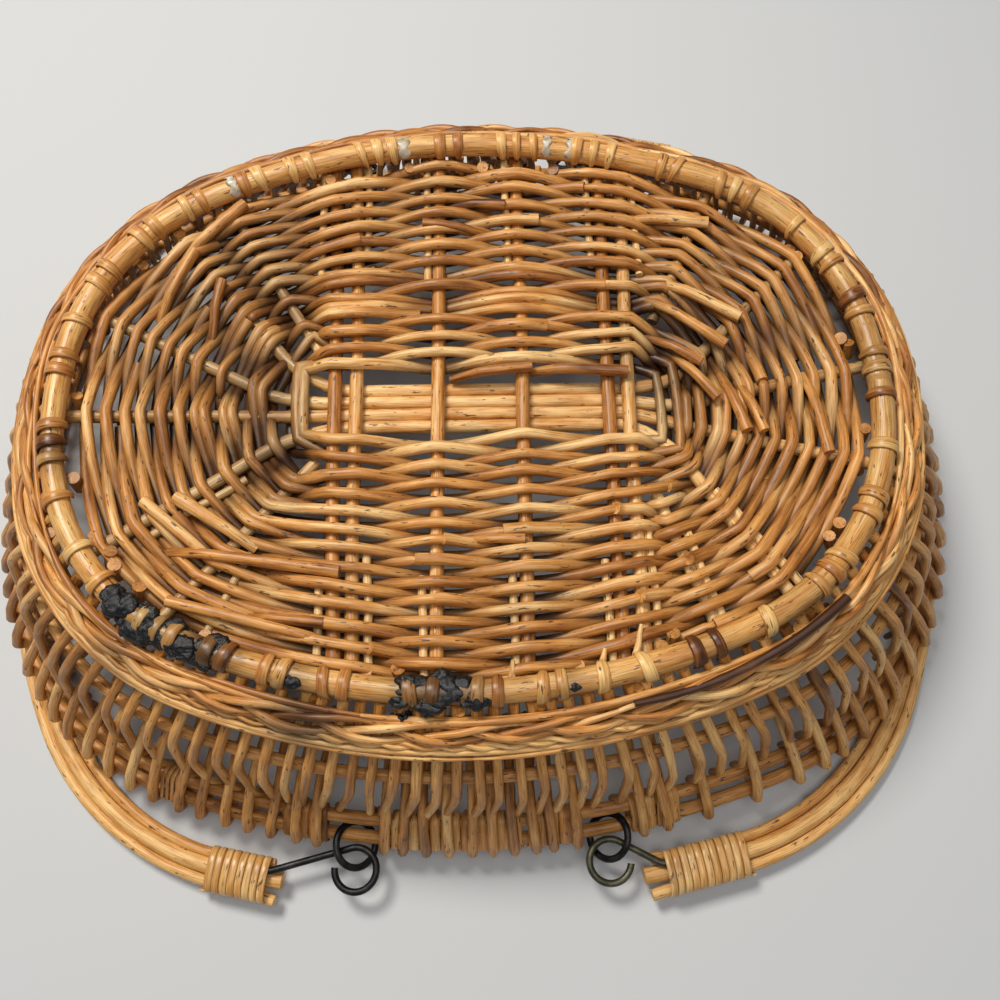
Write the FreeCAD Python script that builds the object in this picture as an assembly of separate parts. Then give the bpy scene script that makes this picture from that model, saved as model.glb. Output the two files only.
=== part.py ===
import FreeCAD, Part
import math
import os

# Oval openwork willow basket with two drop handles, standing upside down on its rim.
# Millimetres. +Z is up, +X is along the basket, the origin is the middle of the footprint.

# Base hoop, the foot of the basket in use
hoop_half_length = 185.0
hoop_half_width = 135.0
hoop_side_radius = 300.0
hoop_corner_radius = 110.0
hoop_end_radius = 165.0
hoop_rod_diameter = 10.5
hoop_height = 105.0

# Middle ring of the openwork side
ring_half_length = 215.0
ring_half_width = 165.0
ring_side_radius = 360.0
ring_corner_radius = 125.0
ring_end_radius = 225.0
ring_rod_diameter = 5.5
ring_height = 66.0

# Rim: a lower outer rod and an upper inner rod, the lower one nearest the table
rim_half_length = 239.0
rim_half_width = 189.0
rim_side_radius = 420.0
rim_corner_radius = 140.0
rim_end_radius = 290.0
rim_rod_diameter = 6.2
rim_height = 16.3
rim_rod_inset = 7.8
rim_rod_rise = 10.0

# Side stakes
stake_count = 84
stake_diameter = 4.4
stake_lean_share = 0.15
stake_seat_gap = 0.15
outer_stake_top_height = 102.3
outer_stake_top_out = 5.7
inner_stake_top_height = 89.2
outer_stake_end_height = 20.0
stake_bend_radius = 6.0
stake_tail = 3.0
hook_slack = 0.35
bend_slack = 0.3

# Wale, the band of thin rods just below the hoop
wale_rod_diameter = 3.4
wale_outer_count = 5
wale_inner_count = 2
wale_rod_gap = 0.2
wale_outer_start_height = 98.5
wale_inner_start_height = 93.5

# Stake tongues wrapped over the hoop
tongue_count = 60
tongue_width = 5.4
tongue_thickness = 1.3
tongue_dip = 8.0
tongue_turn = 223.0
foot_flat_depth = 0.5

# Base: sticks across, sticks along that fan out at the ends, and bye sticks between them
cross_stick_diameter = 6.4
cross_stick_length_shares = (-0.33, -0.28, -0.075, 0.13, 0.345, 0.395)
long_stick_diameter = 5.2
long_stick_gap = 0.2
slath_half_length = 88.0
fan_angles = (53.0, 8.0)
stick_overhang = 4.0
bye_stick_diameter = 4.4
bye_stick_angles = (30.0, 76.0)
bye_line_setbacks = (0.0, 6.0)
bye_line_asides = (5.4, 21.0)
bye_start_share = 0.43

# Weave of the base: closed rows of round weavers, over one stick and under the next
weaver_diameter = 4.1
weaver_rows = 19
weaver_bend_radius = 4.5
weaver_landing = 0.8
weaver_seat_gap = 0.25
weaver_end_gap = 0.6
weave_window_half_width = 22.5
weave_edge_gap = 9.0
grouped_row_share = 0.13
paired_row_share = 0.42

# Flat wraps on the long sides of the rim, between the stakes
rim_wrap_width = 4.6
rim_wrap_thickness = 1.4
rim_wrap_half_reach = 84.0

# Wire rings on the rim and wire eyes on the handles
hinge_offset = 59.0
wire_diameter = 3.3
link_radius = 10.2
link_tilt = 36.0
link_drop = 4.2
eye_radius = 9.7
eye_reach = 15.2
eye_turn = 290.0
shank_length = 58.0
shank_lead = 2.0
shank_inset = 4.5
shank_bend_radius = 6.0

# Handles, wide enough to lie outside the rim
handle_end_clearance = -1.0
handle_side_clearance = 24.0
handle_side_radius = 520.0
handle_corner_radius = 130.0
handle_end_radius = 300.0
core_rod_diameter = 7.5
outer_rod_diameter = 5.2
inner_rod_diameter = 5.0
rod_gap = 0.15
left_handle_tip_offset = 36.0
right_handle_tip_offset = 16.0

# Bindings of split skein round the handle ends
left_binding_start = 41.0
left_binding_length = 30.0
left_binding_turns = 8
right_binding_start = 26.0
right_binding_length = 40.0
right_binding_turns = 11
skein_thickness = 1.8
binding_gap = 0.35
binding_slack = 0.6

Vector = FreeCAD.Vector
up = Vector(0, 0, 1)
quarters = 4


def oval(half_length, half_width, side_radius, corner_radius, end_radius):
    """Eight tangent arcs: flat sides, flat ends and four rounder corners."""
    side_centre = half_width - side_radius
    end_centre = half_length - end_radius
    reach = math.hypot(side_centre, end_centre)
    to_side = side_radius - corner_radius
    to_end = end_radius - corner_radius
    along = (to_side**2 - to_end**2 + reach**2) / (2 * reach)
    aside = math.sqrt(to_side**2 - along**2)
    ux, uy = end_centre / reach, -side_centre / reach
    corner_x = along * ux + aside * -uy
    corner_y = side_centre + along * uy + aside * ux
    if corner_x < 0 or corner_y < 0:
        corner_x = along * ux - aside * -uy
        corner_y = side_centre + along * uy - aside * ux
    end_angle = math.atan2(corner_y, corner_x - end_centre)
    side_angle = math.atan2(corner_y - side_centre, corner_x)
    arcs = [
        ((end_centre, 0), end_radius, 0, end_angle),
        ((corner_x, corner_y), corner_radius, end_angle, side_angle),
        ((0, side_centre), side_radius, side_angle, math.pi / 2),
    ]
    return arcs


def quarter_length(arcs):
    return sum(radius * (last - first) for centre, radius, first, last in arcs)


def oval_point(arcs, share):
    """Point and outward normal at a share of the way round, from +X towards +Y."""
    quarter = quarter_length(arcs)
    turn = (share % 1) * quarters
    index = int(turn) % quarters
    part = turn - int(turn)
    travel = (part if index % 2 == 0 else 1 - part) * quarter
    for centre, radius, first, last in arcs:
        length = radius * (last - first)
        if travel <= length or last == math.pi / 2:
            angle = first + travel / radius
            break
        travel -= length
    normal = Vector(math.cos(angle), math.sin(angle), 0)
    point = Vector(centre[0], centre[1], 0) + normal * radius
    flip_x = -1 if index in (1, 2) else 1
    flip_y = -1 if index in (2, 3) else 1
    point = Vector(point.x * flip_x, point.y * flip_y, 0)
    return point, Vector(normal.x * flip_x, normal.y * flip_y, 0)


def oval_wire(arcs, offset, height):
    """Closed wire of the oval, moved outward by offset, at a height."""
    edges = []
    for flip_x, flip_y in ((1, 1), (-1, 1), (-1, -1), (1, -1)):
        for centre, radius, first, last in arcs:
            points = []
            for angle in (first, (first + last) / 2, last):
                x = centre[0] + (radius + offset) * math.cos(angle)
                y = centre[1] + (radius + offset) * math.sin(angle)
                points.append(Vector(x * flip_x, y * flip_y, height))
            edges.append(Part.Arc(*points).toShape())
    return Part.Wire(Part.__sortEdges__(edges))


def sweep(wire, radius):
    """Round rod along a wire, as one solid."""
    first = wire.OrderedEdges[0]
    start = first.valueAt(first.FirstParameter)
    direction = first.tangentAt(first.FirstParameter)
    if first.Orientation == "Reversed":
        start = first.valueAt(first.LastParameter)
        direction = first.tangentAt(first.LastParameter) * -1
    profile = Part.Wire([Part.makeCircle(radius, start, direction)])
    return wire.makePipeShell([profile], True, False)


def bent_path(points, bend_radius):
    """Straight runs joined by tangent arcs."""
    edges = []
    start = points[0]
    for before, corner, after in zip(points, points[1:], points[2:]):
        back = (before - corner).normalize()
        ahead = (after - corner).normalize()
        half = back.getAngle(ahead) / 2
        reach = bend_radius / math.tan(half)
        entry = corner + back * reach
        leave = corner + ahead * reach
        middle = corner + (back + ahead).normalize() * (bend_radius / math.sin(half) - bend_radius)
        edges.append(Part.LineSegment(start, entry).toShape())
        edges.append(Part.Arc(entry, middle, leave).toShape())
        start = leave
    edges.append(Part.LineSegment(start, points[-1]).toShape())
    return Part.Wire(edges)


def bent_rod(points, diameter, bend_radius):
    return sweep(bent_path(points, bend_radius), diameter / 2)


def straight_rod(start, end, diameter):
    return Part.makeCylinder(diameter / 2, (end - start).Length, start, end - start)


def export(name, shapes):
    shape = shapes[0] if len(shapes) == 1 else Part.makeCompound(shapes)
    shape.exportStep("parts/" + name + ".step")
    print(name, len(shapes), round(shape.Volume))


hoop_oval = oval(hoop_half_length, hoop_half_width, hoop_side_radius, hoop_corner_radius, hoop_end_radius)
ring_oval = oval(ring_half_length, ring_half_width, ring_side_radius, ring_corner_radius, ring_end_radius)
rim_oval = oval(rim_half_length, rim_half_width, rim_side_radius, rim_corner_radius, rim_end_radius)
handle_half_length = rim_half_length + handle_end_clearance
handle_half_width = rim_half_width + handle_side_clearance
handle_oval = oval(
    handle_half_length, handle_half_width, handle_side_radius, handle_corner_radius, handle_end_radius
)
stake_radius = stake_diameter / 2


def edge_at(arcs, x):
    """Half width of an oval at a place along it, and its slope there."""
    for centre, radius, first, last in arcs:
        if x >= centre[0] + radius * math.cos(last) or last == math.pi / 2:
            rise = math.sqrt(radius**2 - (x - centre[0])**2)
            return centre[1] + rise, -(x - centre[0]) / rise


def wall_lean(share):
    """Outward and upward parts of the side's own normal at a share of the way round."""
    top, normal = oval_point(hoop_oval, share)
    foot = oval_point(rim_oval, share)[0]
    slope = math.atan2(hoop_height - rim_height, (foot - top).dot(normal))
    return math.sin(slope), math.cos(slope)


def side_point(arcs, share, offset, height):
    point, normal = oval_point(arcs, share)
    return point + normal * offset + up * height


def hoop_and_rings():
    """The closed oval rods: base hoop, middle ring and the two rim rods."""
    export("base_hoop", [sweep(oval_wire(hoop_oval, 0, hoop_height), hoop_rod_diameter / 2)])
    export("middle_ring", [sweep(oval_wire(ring_oval, 0, ring_height), ring_rod_diameter / 2)])
    export("rim_lower_rod", [sweep(oval_wire(rim_oval, 0, rim_height), rim_rod_diameter / 2)])
    upper = oval_wire(rim_oval, -rim_rod_inset, rim_height + rim_rod_rise)
    export("rim_upper_rod", [sweep(upper, rim_rod_diameter / 2)])


def stake_offsets():
    """Distances from the ring and rim rods to the stakes that pass them."""
    at_ring = ring_rod_diameter / 2 + stake_seat_gap + stake_radius
    at_rim = rim_rod_diameter / 2 + stake_seat_gap + stake_radius
    return at_ring, at_rim


def outer_stake(number):
    """Leaves the hoop outside, passes outside the middle ring and ends inside the rim."""
    at_ring, at_rim = stake_offsets()
    at_ring += bend_slack
    leaning = (number + stake_lean_share) / stake_count
    wall_out, wall_up = wall_lean(number / stake_count)
    top = side_point(hoop_oval, leaning, outer_stake_top_out, outer_stake_top_height)
    middle = side_point(ring_oval, number / stake_count, at_ring * wall_out, ring_height + at_ring * wall_up)
    rim_point, normal = oval_point(rim_oval, leaning)
    run = (rim_point - middle).dot(normal)
    level = middle.z - rim_height - rim_rod_rise
    steepness = math.atan2(level, run - rim_rod_inset)
    steepness += math.asin(at_rim / math.hypot(level, run - rim_rod_inset))
    end_out = (middle.z - outer_stake_end_height) / math.tan(steepness) - run
    end = side_point(rim_oval, leaning, end_out, outer_stake_end_height)
    return bent_rod([top, middle, end], stake_diameter, stake_bend_radius)


def inner_stake(number):
    """Starts inside the wale, passes inside the middle ring and hooks under the rim."""
    at_ring, at_rim = stake_offsets()
    at_rim += hook_slack
    leaning = (number + 1 / 2 - stake_lean_share) / stake_count
    top = side_point(hoop_oval, leaning, hoop_rod_diameter / 2, inner_stake_top_height)
    middle_share = (number + 1 / 2) / stake_count
    wall_out, wall_up = wall_lean(middle_share)
    middle_height = ring_height - at_ring * wall_up
    middle = side_point(ring_oval, middle_share, -at_ring * wall_out, middle_height)
    rim_point, normal = oval_point(rim_oval, leaning)
    run = (rim_point - middle).dot(normal)
    slopes = []
    for inset, rise in ((0, 0), (rim_rod_inset, rim_rod_rise)):
        level = middle_height - rim_height - rise
        slopes.append(math.atan2(level, run - inset) - math.asin(at_rim / math.hypot(level, run - inset)))
    corner_out = (middle_height - rim_height + at_rim) / math.tan(min(slopes)) - run
    corner = side_point(rim_oval, leaning, corner_out, rim_height - at_rim)
    tail = side_point(rim_oval, leaning, -stake_tail, rim_height - at_rim)
    return bent_rod([top, middle, corner, tail], stake_diameter, at_rim)


def clear_of_links(shape):
    """Leaves out a stake that would stand where a wire ring hangs on the rim."""
    room = link_radius * math.cos(math.radians(link_tilt)) + wire_diameter + stake_radius
    for box in [edge.BoundBox for edge in shape.Edges]:
        near_rim = box.ZMin < rim_height
        if near_rim and abs(abs(box.Center.x) - hinge_offset) < room and abs(box.Center.y) > hoop_half_width:
            return False
    return True


def stakes():
    export("outer_stakes", [outer_stake(number) for number in range(stake_count)])
    inner = [inner_stake(number) for number in range(stake_count)]
    export("inner_stakes", [shape for shape in inner if clear_of_links(shape)])


def wale():
    """Thin rods laid side by side outside and inside the tops of the outer stakes."""
    at_ring, at_rim = stake_offsets()
    at_ring += bend_slack
    top_out, top_height = outer_stake_top_out, outer_stake_top_height
    slopes = []
    for number in range(stake_count):
        wall_out, wall_up = wall_lean(number / stake_count)
        ring_level = ring_height + at_ring * wall_up
        top, normal = oval_point(hoop_oval, (number + stake_lean_share) / stake_count)
        middle = side_point(ring_oval, number / stake_count, at_ring * wall_out, 0)
        slopes.append(math.atan2(top_height - ring_level, (middle - top).dot(normal) - top_out))
    spread = stake_radius + wale_rod_diameter / 2 + bend_slack
    pitch = wale_rod_diameter + wale_rod_gap
    for name, side, count, start, slope in (
        ("wale_outer_rods", 1, wale_outer_count, wale_outer_start_height, min(slopes)),
        ("wale_inner_rods", -1, wale_inner_count, wale_inner_start_height, max(slopes)),
    ):
        rods = []
        for number in range(count):
            travel = (top_height - start) / math.sin(slope) + number * pitch
            out = top_out + travel * math.cos(slope) + side * spread * math.sin(slope)
            level = top_height - travel * math.sin(slope) + side * spread * math.cos(slope)
            rods.append(sweep(oval_wire(hoop_oval, out, level), wale_rod_diameter / 2))
        export(name, rods)


def tongues():
    """Flat ends of stakes bent over the hoop, worn flat on top where the basket stands in use."""
    inside = hoop_rod_diameter / 2 + stake_seat_gap
    bands = []
    for number in range(tongue_count):
        point, normal = oval_point(hoop_oval, number / tongue_count)
        centre = point + up * hoop_height
        along = normal.cross(up)
        tilt = math.radians(tongue_dip)
        start = normal * math.cos(tilt) - up * math.sin(tilt)
        corners = []
        for reach, side in ((0, -1), (tongue_thickness, -1), (tongue_thickness, 1), (0, 1)):
            corners.append(centre + start * (inside + reach) + along * (side * tongue_width / 2))
        face = Part.Face(Part.makePolygon(corners + corners[:1]))
        bands.append(face.revolve(centre, along, tongue_turn))
    top = hoop_height + inside + tongue_thickness - foot_flat_depth
    outline = oval_wire(hoop_oval, hoop_rod_diameter + tongue_thickness, top)
    worn = Part.Face(outline).extrude(up * hoop_rod_diameter)
    export("stake_tongues", [band.cut(worn) for band in bands])


def reach_to_oval(start, direction, inset):
    """Distance from start, along a level direction, to the hoop's oval moved inward by inset."""
    samples = 1440
    best = None
    for number in range(samples):
        point, normal = oval_point(hoop_oval, number / samples)
        ray = point - normal * inset - Vector(start.x, start.y, 0)
        miss = abs(ray.cross(direction).z)
        if ray.dot(direction) > 0 and (best is None or miss < best[0]):
            best = (miss, ray.dot(direction))
    return best[1]


class Stick:
    """One arm of a base stick, from a root near the middle out to the hoop."""

    def __init__(self, root, angle, radius, end_height):
        self.radius = radius
        self.root = root
        self.direction = Vector(math.cos(angle), math.sin(angle), 0)
        self.woven = reach_to_oval(root, self.direction, weave_edge_gap)
        self.length = reach_to_oval(root, self.direction, 0) + stick_overhang
        self.rise = end_height - root.z

    def at(self, travel):
        return self.root + self.direction * travel + up * (self.rise * travel / self.length)

    def crossing(self, share):
        return self.at(self.woven * share)

    def tip(self):
        return self.at(self.length)


def mirrored(point, side, face):
    return Vector(point.x * side, point.y * face, point.z)


under_hoop = hoop_height - hoop_rod_diameter / 2 - stake_seat_gap
cross_height = under_hoop - cross_stick_diameter / 2
long_height = cross_height - (cross_stick_diameter + long_stick_diameter) / 2 - stake_seat_gap
long_end_height = under_hoop - long_stick_diameter / 2
bye_end_height = under_hoop - bye_stick_diameter / 2


def cross_arms():
    """The front arm of each stick across, by its place along the basket."""
    arms = []
    for share in cross_stick_length_shares:
        root = Vector(share * hoop_half_length, -weave_window_half_width, cross_height)
        arms.append(Stick(root, -math.pi / 2, cross_stick_diameter / 2, cross_height))
    return arms


def end_arms():
    """The back arms of one end: two long sticks and two bye sticks, by angle."""
    arms = {}
    pitch = long_stick_diameter + long_stick_gap
    for number, degrees in enumerate(reversed(fan_angles)):
        root = Vector(slath_half_length, (number + 1 / 2) * pitch, long_height)
        arms[degrees] = Stick(root, math.radians(degrees), long_stick_diameter / 2, long_end_height)
    for degrees, setback, aside in zip(bye_stick_angles, bye_line_setbacks, bye_line_asides):
        root = Vector(slath_half_length - setback, aside, long_height)
        arms[degrees] = Stick(root, math.radians(degrees), bye_stick_diameter / 2, bye_end_height)
    return arms


def base_sticks(across, ends):
    """Six sticks across under the hoop, four along under those, and shorter bye sticks."""
    cross = []
    for arm in across:
        front = arm.tip()
        cross.append(straight_rod(front, mirrored(front, 1, -1), cross_stick_diameter))
    along = []
    for degrees in fan_angles:
        arm = ends[degrees]
        for face in (1, -1):
            half = [mirrored(arm.root, 1, face), mirrored(arm.tip(), 1, face)]
            points = [mirrored(point, -1, 1) for point in reversed(half)] + half
            along.append(bent_rod(points, long_stick_diameter, long_stick_diameter * 2))
    bye = []
    for degrees in bye_stick_angles:
        arm = ends[degrees]
        for side in (1, -1):
            for face in (1, -1):
                start = mirrored(arm.crossing(bye_start_share), side, face)
                bye.append(straight_rod(start, mirrored(arm.tip(), side, face), bye_stick_diameter))
    export("base_cross_sticks", cross)
    export("base_long_sticks", along)
    export("base_bye_sticks", bye)


def row_groups(share, across, ends):
    """Sticks that a row crosses, in order round the base, in the groups that it passes as one."""
    front = [(arm.crossing(share), arm.radius) for arm in across]
    front = [front[0:2], front[2:3], front[3:4], front[4:6]]
    outer, inner = fan_angles
    if share < grouped_row_share:
        order = [[(outer, -1), (inner, -1), (inner, 1), (outer, 1)]]
    elif share < paired_row_share:
        order = [[(outer, -1)], [(inner, -1), (inner, 1)], [(outer, 1)]]
    else:
        angles = sorted(ends)
        order = [[(angle, -1)] for angle in reversed(angles)] + [[(angle, 1)] for angle in angles]
    right = [
        [(mirrored(ends[angle].crossing(share), 1, face), ends[angle].radius) for angle, face in group]
        for group in order
    ]
    back = [
        [(mirrored(point, 1, -1), radius) for point, radius in reversed(group)]
        for group in reversed(front)
    ]
    left = [[(mirrored(point, -1, -1), radius) for point, radius in group] for group in right]
    return front + right + back + left


def weaver_row(number, across, ends):
    """One closed row, flat over or under each group of sticks and straight between them."""
    share = number / (weaver_rows - 1)
    groups = row_groups(share, across, ends)
    stops = [stop for group in groups for stop in group]
    corners = []
    index = 0
    for order, group in enumerate(groups):
        side = 1 if (order + number) % 2 else -1
        for place, (point, radius) in enumerate(group):
            before = stops[index - 1][0]
            after = stops[(index + 1) % len(stops)][0]
            heading = Vector(after.x - before.x, after.y - before.y, 0).normalize()
            lifted = point + up * (side * (radius + weaver_seat_gap + weaver_diameter / 2))
            landing = heading * (radius + weaver_landing)
            if place == 0:
                corners.append(lifted - landing)
            if 0 < place < len(group) - 1:
                corners.append(lifted)
            if place == len(group) - 1:
                corners.append(lifted + landing)
            index += 1
    middle = (corners[-1] + corners[0]) / 2
    half_gap = (corners[0] - corners[-1]).normalize() * (weaver_end_gap / 2)
    return bent_path([middle + half_gap] + corners + [middle - half_gap], weaver_bend_radius)


def base_weave(across, ends):
    rows = [weaver_row(number, across, ends) for number in range(weaver_rows)]
    lines = [row.discretize(Distance=weaver_diameter / 2) for row in rows]
    gaps = []
    for line, following in zip(lines, lines[1:]):
        gaps += [min((point - other).Length for other in following) - weaver_diameter for point in line]
    print("least gap between rows", round(min(gaps), 2))
    export("base_weave", [sweep(row, weaver_diameter / 2) for row in rows])


def rim_wraps():
    """Flat stake ends wound round both rim rods on the long sides."""
    inner = rim_rod_diameter / 2 + stake_seat_gap
    outer = inner + rim_wrap_thickness
    span = Vector(-rim_rod_inset, 0, rim_rod_rise)
    turned = math.degrees(math.atan2(-rim_rod_inset, rim_rod_rise))
    bands = []
    for number in range(stake_count):
        share = (number + 3 / 4) / stake_count
        point, normal = oval_point(rim_oval, share)
        gap_to_link = abs(abs(point.x) - hinge_offset)
        if abs(point.x) > rim_wrap_half_reach or abs(point.y) < hoop_half_width:
            continue
        if gap_to_link < link_radius + wire_diameter + rim_wrap_width:
            continue
        band = slot_prism(outer, span, rim_wrap_width).cut(slot_prism(inner, span, rim_wrap_width * 2))
        band.rotate(Vector(0, 0, 0), up, math.degrees(math.atan2(normal.y, normal.x)))
        band.translate(point + up * rim_height)
        bands.append(band)
    export("rim_wraps", bands)


def slot_prism(radius, span, width):
    """Solid with a slot outline round two rods, in the XZ plane, centred on Y."""
    side = span.cross(Vector(0, 1, 0)).normalize() * radius
    cap = Vector(span).normalize() * radius
    origin = Vector(0, -width / 2, 0)
    edges = [
        Part.LineSegment(origin + side, origin + span + side).toShape(),
        Part.Arc(origin + span + side, origin + span + cap, origin + span - side).toShape(),
        Part.LineSegment(origin + span - side, origin - side).toShape(),
        Part.Arc(origin - side, origin - cap, origin + side).toShape(),
    ]
    return Part.Face(Part.Wire(edges)).extrude(Vector(0, width, 0))


def arc_of_circle(centre, first_axis, second_axis, radius, first, last):
    points = []
    for angle in (first, (first + last) / 2, last):
        heading = first_axis * math.cos(angle) + second_axis * math.sin(angle)
        points.append(centre + heading * radius)
    return Part.Arc(*points).toShape()


def rim_link(side, face, name):
    """Closed wire ring that hangs on the lower rim rod and holds a handle's eye."""
    tilt = math.radians(link_tilt)
    centre = Vector(side * hinge_offset, face * (edge_at(rim_oval, hinge_offset)[0] + link_drop), rim_height)
    slant = Vector(side * math.cos(tilt), 0, math.sin(tilt))
    export(name, [Part.makeTorus(link_radius, wire_diameter / 2, centre, slant.cross(Vector(0, 1, 0)))])


handle_tilt = math.asin(
    (rim_height - wire_diameter / 2 - core_rod_diameter - rod_gap)
    / (handle_half_length - hinge_offset)
)
rod_level = -(wire_diameter + core_rod_diameter) / 2 - rod_gap


def laid_down(shape, side):
    """Turns a handle piece from its own plane to where it lies, far end on the table."""
    placed = shape.copy()
    placed.translate(Vector(-hinge_offset, 0, 0))
    placed.rotate(Vector(0, 0, 0), Vector(0, 1, 0), math.degrees(handle_tilt))
    placed.translate(Vector(hinge_offset, 0, rim_height))
    if side < 0:
        placed = placed.mirror(Vector(0, 0, 0), Vector(1, 0, 0))
    return placed


def handle_wire(offset, tip):
    """Half oval in the handle's plane, from the front tip round the end to the back tip."""
    edges = []
    start_x = hinge_offset + tip
    for flip_y in (-1, 1):
        for centre, radius, first, last in handle_oval:
            if last == math.pi / 2:
                last = math.acos(start_x / handle_side_radius)
            points = []
            for angle in (first, (first + last) / 2, last):
                x = centre[0] + (radius + offset) * math.cos(angle)
                y = centre[1] + (radius + offset) * math.sin(angle)
                points.append(Vector(x, y * flip_y, rod_level))
            edges.append(Part.Arc(*points).toShape())
    return Part.Wire(Part.__sortEdges__(edges))


def eye_wire(face, first):
    """Shank laid in the binding, bent towards the rim in front of it and curled into an open eye."""
    centre = Vector(hinge_offset, face * (edge_at(rim_oval, hinge_offset)[0] + eye_reach), 0)
    root_x = hinge_offset + shank_length
    root = Vector(root_x, face * edge_at(handle_oval, root_x)[0], 0)
    knee_x = hinge_offset + first - shank_lead
    knee = Vector(knee_x, face * (edge_at(handle_oval, knee_x)[0] - shank_inset), 0)
    span = knee - centre
    lean = math.acos(eye_radius / span.Length)
    base = math.atan2(span.y, span.x)
    start = base - face * lean
    turn = -face * math.radians(eye_turn)
    axis_x, axis_y = Vector(1, 0, 0), Vector(0, 1, 0)
    contact = centre + axis_x * (eye_radius * math.cos(start)) + axis_y * (eye_radius * math.sin(start))
    edges = bent_path([root, knee, contact], shank_bend_radius).Edges
    pieces = 3
    for number in range(pieces):
        begin = start + turn * number / pieces
        finish = start + turn * (number + 1) / pieces
        edges.append(arc_of_circle(centre, axis_x, axis_y, eye_radius, begin, finish))
    return sweep(Part.Wire(edges), wire_diameter / 2)


def arc_in_triangle(start, corner, end):
    """Arc from start to end, tangent to both legs of an equal sided corner."""
    middle = (start + end) / 2
    half_chord = (end - start).Length / 2
    rise = corner - middle
    if rise.Length < half_chord / 1000:
        return Part.LineSegment(start, end).toShape()
    angle = math.atan2(rise.Length, half_chord)
    top = middle + rise.normalize() * (half_chord * math.tan(angle / 2))
    return Part.Arc(start, top, end).toShape()


def biarc(start, start_tangent, end, end_tangent):
    """Two arcs that meet smoothly, between two points with given directions."""
    chord = end - start
    both = start_tangent + end_tangent
    a = 2 * (1 - start_tangent.dot(end_tangent))
    b = 2 * chord.dot(both)
    c = -chord.dot(chord)
    reach = (-b + math.sqrt(b * b - 4 * a * c)) / (2 * a)
    first_corner = start + start_tangent * reach
    second_corner = end - end_tangent * reach
    joint = (first_corner + second_corner) / 2
    return [arc_in_triangle(start, first_corner, joint), arc_in_triangle(joint, second_corner, end)]


def binding(face, first, length, turns):
    """Split skein wound round the handle rods and the wire shank, one unbroken strand."""
    middle_x = hinge_offset + first + length / 2
    middle_y, slope = edge_at(handle_oval, middle_x)
    along = Vector(1, slope, 0).normalize()
    along = Vector(along.x, face * along.y, 0)
    across = Vector(along.y, -along.x, 0) * -face
    top = wire_diameter / 2 + binding_gap + skein_thickness / 2
    bottom = rod_level - core_rod_diameter / 2 - binding_gap - skein_thickness / 2
    bundle_out = core_rod_diameter / 2 + rod_gap + outer_rod_diameter
    bundle_in = core_rod_diameter / 2 + rod_gap + inner_rod_diameter
    half_width = (bundle_out + bundle_in) / 2 + binding_gap + skein_thickness / 2 + binding_slack
    half_height = (top - bottom) / 2 + skein_thickness + binding_slack / 2
    centre = Vector(middle_x, face * middle_y, (top + bottom) / 2)
    centre = centre + across * ((bundle_out - bundle_in) / 2)
    pitch = (length - skein_thickness) / turns
    full_turn = 2 * math.pi

    def place(angle):
        travel = pitch * (angle / full_turn) - pitch * turns / 2
        aside = across * (half_width * math.cos(angle)) + up * (half_height * math.sin(angle))
        return centre + along * travel + aside

    def heading(angle):
        aside = across * (-half_width * math.sin(angle)) + up * (half_height * math.cos(angle))
        return (aside + along * (pitch / full_turn)).normalize()

    steps = turns * quarters
    angles = [full_turn * number / quarters for number in range(steps + 1)]
    edges = [Part.LineSegment(place(0) - heading(0) * skein_thickness, place(0)).toShape()]
    for first, last in zip(angles, angles[1:]):
        edges += biarc(place(first), heading(first), place(last), heading(last))
    end = place(angles[-1])
    edges.append(Part.LineSegment(end, end + heading(angles[-1]) * skein_thickness).toShape())
    samples = [place(full_turn * number / 48) for number in range(turns * 48)]
    apart = min((samples[number + 48] - samples[number]).Length for number in range(len(samples) - 48))
    print("least gap between turns", round(apart - skein_thickness, 2))
    return sweep(Part.Wire(edges), skein_thickness / 2)


def handle(side, name, tip, first, length, turns):
    outer_offset = (core_rod_diameter + outer_rod_diameter) / 2 + rod_gap
    inner_offset = -(core_rod_diameter + inner_rod_diameter) / 2 - rod_gap
    core = sweep(handle_wire(0, tip), core_rod_diameter / 2)
    outer = sweep(handle_wire(outer_offset, tip), outer_rod_diameter / 2)
    inner = sweep(handle_wire(inner_offset, tip), inner_rod_diameter / 2)
    export(name + "_handle_core_rod", [laid_down(core, side)])
    export(name + "_handle_outer_rod", [laid_down(outer, side)])
    export(name + "_handle_inner_rod", [laid_down(inner, side)])
    for face, place in ((-1, "front"), (1, "back")):
        export(name + "_" + place + "_wire_eye", [laid_down(eye_wire(face, first), side)])
        export(name + "_" + place + "_binding", [laid_down(binding(face, first, length, turns), side)])


os.makedirs("parts", exist_ok=True)
hoop_and_rings()
stakes()
wale()
tongues()
across_arms, fan_arms = cross_arms(), end_arms()
base_sticks(across_arms, fan_arms)
base_weave(across_arms, fan_arms)
rim_wraps()
for side, name in ((-1, "left"), (1, "right")):
    for face, place in ((-1, "front"), (1, "back")):
        rim_link(side, face, name + "_" + place + "_rim_link")
handle(-1, "left", left_handle_tip_offset, left_binding_start, left_binding_length, left_binding_turns)
handle(1, "right", right_handle_tip_offset, right_binding_start, right_binding_length, right_binding_turns)
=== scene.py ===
# %% [markdown]
# # An oval willow basket, upside down, with two drop handles
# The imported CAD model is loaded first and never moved. It holds every rod, ring and wire at its
# real size. The willow pieces are then made again here, because CAD draws each rod even and
# straight, and real willow is crooked, tapered and streaked. All lengths below are in
# millimetres, and one factor turns them to Blender's metres.

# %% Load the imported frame
from math import asin, atan2, copysign, cos, hypot, pi, radians, sin, sqrt, tau

import bmesh
import bpy
import numpy as np
from mathutils import Matrix, Vector, noise


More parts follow.
